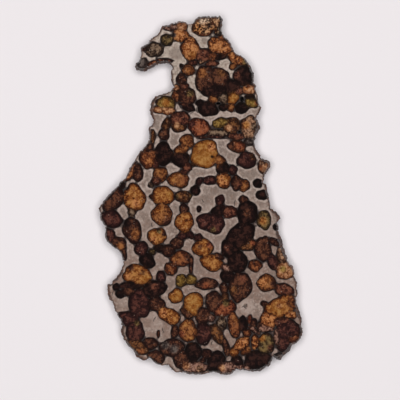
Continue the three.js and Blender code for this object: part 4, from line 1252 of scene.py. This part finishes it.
@dataclass(frozen=True)
class IronNickel:
    """Polished and etched metal: pale bands along the crystals, darker fields between them.

    A swing says how strongly a noise moves something. The contact is the dark line against a
    crystal, narrow places are filled with dark matter, and a fine line runs between a band and
    its field.
    """

    band: Colour = (171, 153, 143)
    field: Colour = (142, 125, 115)
    shade: Colour = (108, 92, 83)
    line: Colour = (104, 87, 78)
    contact: Colour = (25, 13, 10)
    infill: Colour = (74, 46, 36)
    rust: Colour = (126, 96, 80)
    mauve: Colour = (131, 106, 94)
    silver: Colour = (186, 172, 158)
    metallic: float = 0.7
    broad: Noise = (0.28, 3, 0.6)
    mottling: Noise = (1.1, 5, 0.7)
    specks: Noise = (4.5, 3, 0.65)
    worn: Cloud = Cloud(1.6, 4, 0.75, 0.46, 0.6, seed=11.0, strength=0.7)
    fresh: Cloud = Cloud(1.1, 4, 0.75, 0.52, 0.62, seed=17.0, strength=0.7)
    rusted: Cloud = Cloud(1.0, 5, 0.75, 0.51, 0.64, seed=5.0, strength=0.65)
    cut: Cut = Cut()
    narrow_swings: tuple[float, float] = (1.1, 1.6)
    filled_rise: Span = (1.0, 0.55)
    infill_rise: Span = (0.4, 0.65)
    contact_swing: float = 0.4
    contact_rise: Span = (0.24, 0.06)
    stroke_rise: Span = (0.1, 0.6)
    contact_share: float = 0.92
    gloss: Line = (0.42, 0.16)
    dulling: float = 0.3
    band_swing: float = 1.2
    band_edge: Span = (0.55, 0.95)
    speck_grit: float = 0.5
    speck_rise: Span = (0.68, 0.9)
    speck_share: float = 0.75
    blotch_rise: Span = (0.52, 0.66)
    blotch_share: float = 0.5
    line_sides: tuple[Span, Span] = ((0.5, 0.66), (0.86, 0.7))
    lined_rise: Span = (0.42, 0.62)
    line_share: float = 0.6
    mauve_rise: Span = (0.2, 0.6)
    silver_share: float = 0.6
    shade_share: float = 0.8

    def material(self) -> bpy.types.Material:
        """The finish, which reads the distance to the nearest crystal from the mesh.

        Returns:
            The material.
        """
        g = Graph("iron_nickel")
        wide, mottle, grit = (g.noise(*each) for each in (self.broad, self.mottling, self.specks))
        colour = self.toned(g, self.etched(g, wide, mottle, grit), wide)
        rust = self.rusted.share(g)
        colour = g.mix(rust, colour, self.rust)
        narrow = g.value("narrow")
        for cloud, swing in zip((mottle, wide), self.narrow_swings):
            narrow = g.plus(narrow, g.swing(cloud, swing))
        filled = g.rise(narrow, *self.filled_rise)
        infill = g.mix(g.rise(grit, *self.infill_rise), self.contact, self.infill)
        colour = g.mix(filled, colour, infill)
        gap = g.plus(g.value("gap"), g.swing(mottle, self.contact_swing))
        contact = g.rise(gap, *self.contact_rise)
        contact = g.most(contact, g.rise(g.value("stroke"), *self.stroke_rise))
        colour = g.mix(g.times(contact, self.contact_share), colour, self.contact)
        crust = g.value("crust")
        dull = g.most(g.most(contact, crust), g.most(rust, filled))
        rough = g.line(grit, *self.gloss)
        rough = g.plus(rough, g.times(dull, self.dulling), clamp=True)
        self.cut.dress(g, g.mix(crust, colour, self.cut.crust.colour(g)), rough, grit, crust)
        bare = g.times(g.minus(1.0, dull, clamp=True), self.metallic)
        g.join(bare, g.shader.inputs["Metallic"])
        return g.material

    def etched(self, g: Graph, wide: Socket, mottle: Socket, grit: Socket) -> Socket:
        """The etched pattern: a band along each crystal, a fine line and a speckled field.

        Args:
            g: The material's nodes.
            wide: Clouds of a few millimetres.
            mottle: Clouds under a millimetre.
            grit: Specks of a quarter of a millimetre.

        Returns:
            The colour.
        """
        gap = g.plus(g.value("gap"), g.swing(mottle, self.band_swing))
        speck = g.rise(g.plus(mottle, g.times(grit, self.speck_grit)), *self.speck_rise)
        speck = g.times(speck, self.speck_share)
        speck = g.most(speck, g.times(g.rise(wide, *self.blotch_rise), self.blotch_share))
        colour = g.mix(g.rise(gap, *self.band_edge), self.band, g.mix(speck, self.field, self.shade))
        near, far = (g.rise(gap, *side) for side in self.line_sides)
        lined = g.times(g.times(near, far), g.rise(wide, *self.lined_rise))
        return g.mix(g.times(lined, self.line_share), colour, self.line)

    def toned(self, g: Graph, colour: Socket, wide: Socket) -> Socket:
        """Warms the lower part, brightens the top, and lays worn, fresh and shaded places on.

        Args:
            g: The material's nodes.
            colour: The etched metal.
            wide: Clouds of a few millimetres.

        Returns:
            The colour.
        """
        warmed = g.times(g.value("lower"), g.rise(wide, *self.mauve_rise))
        colour = g.mix(warmed, colour, self.mauve)
        colour = g.mix(g.times(g.value("upper"), self.silver_share), colour, self.silver)
        colour = g.mix(self.worn.share(g), colour, self.shade)
        colour = g.mix(self.fresh.share(g), colour, self.band)
        shade = g.value("shade")
        colour = g.mix(g.times(shade, self.shade_share, clamp=True), colour, self.band)
        return g.mix(g.times(shade, -self.shade_share, clamp=True), colour, self.shade)


@dataclass
class Crystals:
    """All the olivine, joined into one piece for each solid that it stands for.

    The rings are shares of a crystal's reach, and its face sinks by the drop over a border
    inside its outline. Tones melt into the neighbours' over a short way, and mingle is how
    strongly a neighbour's counts there.
    """

    rim: Rim
    pattern: Pattern
    rings: tuple[float, ...] = (0.24, 0.44, 0.61, 0.75, 0.86, 0.94, 1.0)
    border: float = 0.28
    drop: float = 0.004
    melt: float = 0.35
    mingle: float = 0.6
    deepest: float = 2.0
    seed_step: float = 0.618
    patch_edge: Span = (0.5, 1.25)
    crust_edge: Span = (0.02, 0.35)
    crust_share: float = 0.5
    side_edge: float = 0.1
    loose_name: str = "olivine_grains"

    def build(self) -> list[bpy.types.Object]:
        """Makes the pieces, each named after the solid that it stands for, and hides those solids.

        Returns:
            The pieces.
        """
        clear = Olivine("olivine_clear", absorption=(0.9, 0.48, 0.16), density=220.0, gain=0.8)
        dark = Olivine("olivine_dark", absorption=(0.5, 0.3, 0.16), density=700.0, gain=0.7)
        finishes = [clear.material(), dark.material()]
        groups: dict[str, list[int]] = {}
        for number in range(len(GRAINS)):
            groups.setdefault(self.node_under(number), []).append(number)
        pieces = []
        for node, members in groups.items():
            sheet, slots = Sheet(), []
            for number in members:
                self.add_crystal(sheet, number)
                slot = 0 if GRAINS[number].tone.see_through else 1
                slots += [slot] * (len(sheet.faces) - len(slots))
            piece = sheet.finish(node + "_polished", finishes, slots)
            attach(piece, ROOT)
            largest = max((GRAINS[n] for n in members), key=lambda grain: grain.long * grain.short)
            "olivine_amber" if largest.tone.see_through else "olivine_dark"
            if node != self.loose_name:
                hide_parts(node)
            LOG.info("%s: %d crystals, %d faces", piece.name, len(members), len(sheet.faces))
            pieces.append(piece)
        return pieces

    def node_under(self, number: int) -> str:
        """The olivine solid that a crystal's middle lies in, or the name for loose small grains.

        Args:
            number: The crystal's place in the list.

        Returns:
            The solid's name.
        """
        x, y = self.pattern.centre[number] * MM
        start = Vector((x, y, 2 * self.rim.thickness * MM))
        for name, tree in self.solids.items():
            if tree.ray_cast(start, Vector((0, 0, -1)))[0] is not None:
                return name
        return self.loose_name

    @cached_property
    def solids(self) -> dict[str, BVHTree]:
        """The olivine solids' surfaces by name."""
        graph = bpy.context.evaluated_depsgraph_get()
        return {name: BVHTree.FromObject(node, graph)
                for name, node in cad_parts.items() if name.startswith("olivine")}

    def carried(self, number: int, points: np.ndarray) -> dict[str, np.ndarray]:
        """What a crystal's corners carry: its tone, blended with the patches that lie on it.

        Args:
            number: The crystal's place in the list.
            points: The corners' places on the face.

        Returns:
            The named values for each corner.
        """
        nearby = [number, *(n for n in self.pattern.neighbours(number) if n < len(GRAINS))]
        depths = [np.maximum(self.pattern.depth(n, points), -self.deepest) for n in nearby]
        weights = np.exp(-np.stack(depths) / self.melt)
        weights[1:] *= self.mingle
        weights /= weights.sum(axis=0)
        tones = [GRAINS[n].tone.carried for n in nearby]
        made = {key: weights.T @ np.array([tone[key] for tone in tones]) for key in tones[0]}
        for patch in PATCHES:
            share = patch.share(points + self.rim.middle, *self.patch_edge)
            if share.any():
                for key, target in patch.tone.carried.items():
                    made[key] += (target - made[key]) * (share[:, None] if made[key].ndim == 2 else share)
        made["seed"] = np.full(len(points), (number * self.seed_step) % 1)
        return made

    def add_crystal(self, sheet: Sheet, number: int) -> None:
        """Adds one crystal: its polished face, its sawn back and its sides.

        Args:
            sheet: The mesh that it joins.
            number: The crystal's place in the list.
        """
        rays, reach, _, touch = self.pattern.outline(number)
        centre, count = self.pattern.centre[number], len(rays)
        flat = np.concatenate([centre[None], *(centre + rays * (reach * share)[:, None]
                                               for share in self.rings)])
        inset = np.concatenate([[reach.min()], *(reach * (1 - share) for share in self.rings)])
        distance, _ = self.rim.nearest(flat)
        values = self.carried(number, flat)
        values["touch"] = np.concatenate([[touch.mean()], *(touch for _ in self.rings)])
        crust = self.crust_share * fall(*self.crust_edge, distance)
        sunk = self.drop * fall(0, self.border, inset)
        firsts = []
        for z, side, sawn in ((self.rim.thickness, 1, 0.0), (0.0, -1, 1.0)):
            face = self.rim.place(flat, z)
            face[:, 2] -= side * sunk
            first = sheet.add(face, edge=inset, crust=crust, sawn=np.full(len(flat), sawn), **values)
            self.add_face(sheet, first, count, side)
            firsts.append(first + 1 + (len(self.rings) - 1) * count)
        rows = [firsts[0]]
        outer, to_rim = flat[-count:], distance[-count:]
        if to_rim.min() < self.rim.reach:
            crust = fall(*self.rim.crust_edge, to_rim)
            side_values = {key: value[-count:] for key, value in values.items()}
            for z in self.rim.levels:
                rows.append(sheet.add(self.rim.place(outer, z), edge=np.full(count, self.side_edge),
                                      crust=crust, sawn=np.zeros(count), **side_values))
        rows.append(firsts[1])
        for upper, lower in zip(rows, rows[1:]):
            for k in range(count):
                after = (k + 1) % count
                sheet.faces.append([upper + k, lower + k, lower + after, upper + after])

    def add_face(self, sheet: Sheet, first: int, count: int, side: int) -> None:
        """Joins a crystal's middle and its rings into one flat face.

        Args:
            sheet: The mesh that it joins.
            first: The corner in the middle, which the rings follow.
            count: How many corners a ring has.
            side: 1 where the face looks up, -1 where it looks down.
        """
        for k in range(count):
            ring = [first + 1 + k, first + 1 + (k + 1) % count]
            sheet.faces.append([first, *ring[::side]])
            for low in range(0, (len(self.rings) - 1) * count, count):
                high = low + count
                quad = [ring[0] + low, ring[0] + high, ring[1] + high, ring[1] + low]
                sheet.faces.append(quad[::side])


@dataclass
class Metal:
    """The iron-nickel that runs between the crystals, in one piece.

    Scattered points carry its shading. They are spaced out, moved by up to the jitter's share of
    that, and keep clear of the outlines and the hairlines. Bits under the least area are
    dropped. Lower and upper are the stretches of Y over which its two ends change their tone.
    """

    rim: Rim
    pattern: Pattern
    spacing: float = 0.36
    jitter: float = 0.3
    clearance: float = 0.13
    least_area: float = 0.04
    lower: Span = (5.0, -25.0)
    upper: Span = (24.0, 31.0)
    field_edge: Span = (0.6, 1.1)
    crust_edge: Span = (0.02, 0.32)
    crust_share: float = 0.8
    stroke_step: float = 0.14
    stroke_half: float = 0.17
    stroke_bow: float = 0.12
    stroke_slack: float = 0.01
    stroke_clearance: float = 0.1
    least_gap: float = 0.02
    weld: float = 1e-5
    seed: int = 11
    tile: float = 1.0

    def build(self) -> bpy.types.Object:
        """Makes the metal, which stands for the web and every patch.

        Returns:
            The piece.
        """
        points, triangles = self.flat_pattern()
        sheet = Sheet()
        distance, _ = self.rim.nearest(points)
        gap, narrow = self.pattern.metal_depth(points)
        y = points[:, 1]
        values = {
            "gap": gap,
            "narrow": narrow,
            "stroke": self.stroke_share(points),
            "lower": smoothstep(*self.lower, y),
            "upper": smoothstep(*self.upper, y),
            "shade": self.shade(points),
        }
        crust = self.crust_share * fall(*self.crust_edge, distance)
        top, back = (sheet.add(self.rim.place(points, z), crust=crust, sawn=np.full(len(points), sawn),
                               **values) for z, sawn in ((self.rim.thickness, 0.0), (0.0, 1.0)))
        for a, b, c in triangles:
            sheet.faces.append([top + a, top + b, top + c])
            sheet.faces.append([back + a, back + c, back + b])
        self.add_sides(sheet, points, triangles, distance, values, top, back)
        piece = sheet.finish("iron_nickel_polished", [IronNickel().material()])
        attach(piece, ROOT)
        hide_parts(*(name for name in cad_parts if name.startswith("iron_nickel")))
        LOG.info("%s: %d faces", piece.name, len(sheet.faces))
        return piece

    def shade(self, points: np.ndarray) -> np.ndarray:
        """How much paler or darker the metal is than elsewhere, from the fields listed.

        Args:
            points: Places on the face.

        Returns:
            From -1, dark, to 1, pale, for each point.
        """
        total = np.zeros(len(points))
        for field in FIELDS:
            total += (field.shade - total) * field.share(points + self.rim.middle, *self.field_edge)
        return total

    def hairline(self, stroke: Stroke, offset: float = 0.0) -> np.ndarray:
        """Points along an inclusion's hairline, which is slightly bowed.

        Args:
            stroke: The inclusion.
            offset: How far the points lie to the side of it.

        Returns:
            The points on the face.
        """
        turn = math.radians(stroke.turn)
        along = np.array([math.cos(turn), math.sin(turn)])
        across = np.array([-along[1], along[0]])
        half = stroke.length / 2
        steps = np.arange(-half, half + self.stroke_slack, self.stroke_step)
        bow = self.stroke_bow * stroke.length * (1 - (2 * steps / stroke.length) ** 2)
        middle = np.array([stroke.x, stroke.y]) + steps[:, None] * along + bow[:, None] * across
        return middle + offset * across - self.rim.middle

    def stroke_share(self, points: np.ndarray) -> np.ndarray:
        """How much of a dark hairline lies at each point.

        Args:
            points: Places on the face.

        Returns:
            From 0 to 1 for each point.
        """
        share = np.zeros(len(points))
        for stroke in STROKES:
            line = self.hairline(stroke)
            near = np.flatnonzero((np.abs(points - line.mean(axis=0)) < stroke.length).all(axis=1))
            if len(near):
                away = nearest_distance(points[near], line)
                share[near] = np.maximum(share[near], 1 - np.clip(away / self.stroke_half, 0, 1))
        return share

    def flat_pattern(self) -> tuple[np.ndarray, list[Triangle]]:
        """The metal's pattern on the face: the rim's inside without the crystals and gaps.

        Returns:
            The corners' places, and the triangles' corners.
        """
        loops = [self.rim.edge]
        for number in range(len(self.pattern.centre)):
            rays, reach, hole, _ = self.pattern.outline(number)
            length = hole if number < len(GRAINS) else reach
            loops.append(self.pattern.centre[number] + rays * length[:, None])
        free = self.free_points(np.concatenate(loops))
        places = [Vector(p) for p in np.concatenate([*loops, free])]
        faces, start = [], 0
        for loop in loops:
            faces.append(list(range(start, start + len(loop))))
            start += len(loop)
        corners, _, cells, _, _, owners = delaunay_2d_cdt(places, [], faces, 0, self.weld)
        kept = [cell for cell, owner in zip(cells, owners) if list(owner) == [0]]
        return self.tidied(np.array([tuple(p) for p in corners]), kept)

    def free_points(self, loops: np.ndarray) -> np.ndarray:
        """Scattered points that let the metal's shading follow the crystals.

        Args:
            loops: The outlines' points, which the scattered ones keep clear of.

        Returns:
            The points.
        """
        scatter = np.random.default_rng(self.seed)
        low, high = self.rim.edge.min(axis=0), self.rim.edge.max(axis=0)
        xs, ys = (np.arange(a, b, self.spacing) for a, b in zip(low, high))
        grid = np.stack(np.meshgrid(xs, ys), axis=-1).reshape(-1, 2)
        grid += scatter.uniform(-self.jitter, self.jitter, grid.shape) * self.spacing
        grid = grid[self.rim.holds(grid)]
        lines = np.concatenate([self.hairline(stroke, offset) for stroke in STROKES
                                for offset in (-self.stroke_half, 0.0, self.stroke_half)])
        grid = np.concatenate([grid[nearest_distance(grid, lines) > self.stroke_clearance], lines])
        grid = grid[self.pattern.metal_depth(grid)[0] > self.least_gap]
        bins: dict[tuple[int, int], list[np.ndarray]] = {}
        for point in loops:
            bins.setdefault(self.tile_of(point), []).append(point)
        kept = []
        for point in grid:
            i, j = self.tile_of(point)
            around = [p for a in (-1, 0, 1) for b in (-1, 0, 1) for p in bins.get((i + a, j + b), ())]
            if not around or (((np.array(around) - point) ** 2).sum(axis=1)).min() > self.clearance ** 2:
                kept.append(point)
        return np.array(kept)

    def tile_of(self, point: np.ndarray) -> tuple[int, int]:
        """The square tile of the face that a point lies in."""
        return int(point[0] // self.tile), int(point[1] // self.tile)

    def tidied(self, corners: np.ndarray, cells: list[list[int]]) -> tuple[np.ndarray, list[Triangle]]:
        """Drops specks of metal and unused corners, and parts places where two bodies only touch.

        Args:
            corners: The corners' places.
            cells: The triangles' corners.

        Returns:
            The corners that are left, and the triangles.
        """
        body = self.bodies(cells)
        area: dict[int, float] = {}
        for i, cell in enumerate(cells):
            area[body[i]] = area.get(body[i], 0) + abs(doubled_area(corners[list(cell)])) / 2
        large = [i for i in range(len(cells)) if area[body[i]] > self.least_area]
        fans: dict[int, list[int]] = {}
        for i in large:
            for corner in cells[i]:
                fans.setdefault(corner, []).append(i)
        places: list[np.ndarray] = []
        renamed: dict[tuple[int, int], int] = {}
        for corner, members in fans.items():
            for fan in self.parted(cells, members):
                renamed.update({(cell, corner): len(places) for cell in fan})
                places.append(corners[corner])
        triangles = []
        for i in large:
            a, b, c = (renamed[i, corner] for corner in cells[i])
            upward = doubled_area(np.array([places[a], places[b], places[c]])) > 0
            triangles.append((a, b, c) if upward else (a, c, b))
        return np.array(places), triangles

    @staticmethod
    def bodies(cells: list[list[int]]) -> list[int]:
        """Which connected body each triangle belongs to.

        Args:
            cells: The triangles' corners.

        Returns:
            One triangle's index for each, the same for all the triangles of a body.
        """
        parent = list(range(len(cells)))

        def root(i: int) -> int:
            """The triangle that stands for a triangle's body so far."""
            while parent[i] != i:
                parent[i] = parent[parent[i]]
                i = parent[i]
            return i

        by_edge: dict[tuple[int, int], int] = {}
        for i, cell in enumerate(cells):
            for a, b in zip(cell, [*cell[1:], cell[0]]):
                key = (min(a, b), max(a, b))
                if key in by_edge:
                    parent[root(i)] = root(by_edge[key])
                by_edge[key] = i
        return [root(i) for i in range(len(cells))]

    @staticmethod
    def parted(cells: list[list[int]], members: list[int]) -> list[set[int]]:
        """Sorts the triangles round a corner into fans that share edges.

        Args:
            cells: The triangles' corners.
            members: The triangles that meet at the corner.

        Returns:
            The fans: more than one where bodies only touch at the corner.
        """
        fans, left = [], set(members)
        while left:
            fan, queue = set(), [left.pop()]
            while queue:
                cell = queue.pop()
                fan.add(cell)
                for other in list(left):
                    if len(set(cells[cell]) & set(cells[other])) > 1:
                        left.discard(other)
                        queue.append(other)
            fans.append(fan)
        return fans

    def add_sides(self, sheet: Sheet, points: np.ndarray, triangles: list[Triangle],
                  distance: np.ndarray, values: dict[str, np.ndarray], top: int, back: int) -> None:
        """Closes the metal between its polished face and its back.

        Args:
            sheet: The mesh that the sides join.
            points: The pattern's corners.
            triangles: The pattern's triangles.
            distance: Each corner's distance from the rim.
            values: What each corner carries.
            top: The first corner of the polished face.
            back: The first corner of the back.
        """
        edges = {(a, b) for t in triangles for a, b in zip(t, (*t[1:], t[0]))}
        border = [(a, b) for a, b in edges if (b, a) not in edges]
        on_border = np.unique(border)
        layered = on_border[distance[on_border] < self.rim.reach]
        crust = fall(*self.rim.crust_edge, distance[layered])
        side = {key: value[layered] for key, value in values.items()}
        column = {int(corner): [top + int(corner)] for corner in on_border}
        for z in self.rim.levels:
            first = sheet.add(self.rim.place(points[layered], z), crust=crust, sawn=0 * crust, **side)
            for k, corner in enumerate(layered):
                column[int(corner)].append(first + k)
        for corner in on_border:
            column[int(corner)].append(back + int(corner))
        for a, b in border:
            left, right = column[int(a)], column[int(b)]
            if len(left) == len(right):
                for i in range(len(left) - 1):
                    sheet.faces.append([left[i], left[i + 1], right[i + 1], right[i]])
            else:
                sheet.faces.append([*left, *right[::-1]])


@dataclass
class Studio:
    """A pale floor, soft light and a camera that looks straight down.

    The lamps' sizes and places and the clip range are in metres.
    """

    view_width: float = 120.0
    view_middle: tuple[float, float] = (0.0, -1.5)
    lens: float = 100.0
    sensor: float = 36.0
    floor_size: float = 2400.0
    floor_colour: Colour = (243, 237, 239)
    floor_roughness: float = 0.9
    floor_drop: float = 0.1
    room_light: float = 0.03
    lamp_powers: tuple[float, ...] = (1.24, 1.36, 1.44, 1.36, 1.24, 1.12, 1.03, 1.12)
    lamp_size: float = 0.3
    lamp_reach: float = 0.5
    lamp_height: float = 0.8
    clip: tuple[float, float] = (0.01, 10.0)

    def build(self, rim: Rim) -> None:
        """Sets the floor, the lights and the camera.

        Args:
            rim: The slice's outline, which gives its thickness and middle.
        """
        self.floor()
        self.lights()
        self.camera(rim)

    def floor(self) -> None:
        """Lays the floor under the slice."""
        half = self.floor_size / 2 * MM
        mesh = bpy.data.meshes.new("floor")
        mesh.from_pydata([(-half, -half, 0), (half, -half, 0), (half, half, 0), (-half, half, 0)], [],
                         [(0, 1, 2, 3)])
        graph = Graph("floor")
        graph.shader.inputs["Base Color"].default_value = (*linear(self.floor_colour), 1)
        graph.shader.inputs["Roughness"].default_value = self.floor_roughness
        mesh.materials.append(graph.material)
        floor = placed("floor", mesh)
        floor.location.z = -self.floor_drop * MM

    def lights(self) -> None:
        """Hangs a ring of soft lights round the camera and fills the room with faint even light."""
        world = bpy.data.worlds.new("room")
        world.use_nodes = True
        background = world.node_tree.nodes["Background"]
        background.inputs["Color"].default_value = (1, 1, 1, 1)
        background.inputs["Strength"].default_value = self.room_light
        bpy.context.scene.world = world
        for number, power in enumerate(self.lamp_powers):
            turn = 2 * math.pi * (number + 0.5) / len(self.lamp_powers)
            light = bpy.data.lights.new(f"lamp_{number}", "AREA")
            light.size, light.energy = self.lamp_size, power
            lamp = placed(light.name, light)
            across = (self.lamp_reach * math.cos(turn), self.lamp_reach * math.sin(turn))
            lamp.location = (*across, self.lamp_height)
            lamp.rotation_euler = lamp.location.to_track_quat("Z", "Y").to_euler()

    def camera(self, rim: Rim) -> None:
        """Hangs the camera over the slice so that the frame is view_width across at its face.

        Args:
            rim: The slice's outline, which gives its thickness and middle.
        """
        lens = bpy.data.cameras.new("camera")
        lens.lens, lens.sensor_width, lens.sensor_fit = self.lens, self.sensor, "HORIZONTAL"
        camera = placed("camera", lens)
        away = self.view_width * self.lens / self.sensor
        x, y = np.array(self.view_middle) - rim.middle
        camera.location = (x * MM, y * MM, (rim.thickness + away) * MM)
        lens.clip_start, lens.clip_end = self.clip
        bpy.context.scene.camera = camera
        bpy.context.scene.view_settings.view_transform = "Standard"


def main() -> None:
    """Builds the slice and its studio."""
    logging.basicConfig(level=logging.INFO, format="%(name)s %(message)s")
    rim = Rim()
    pattern = Pattern(rim)
    Studio().build(rim)
    Crystals(rim, pattern).build()
    Metal(rim, pattern).build()


if __name__ == "__main__":
    main()
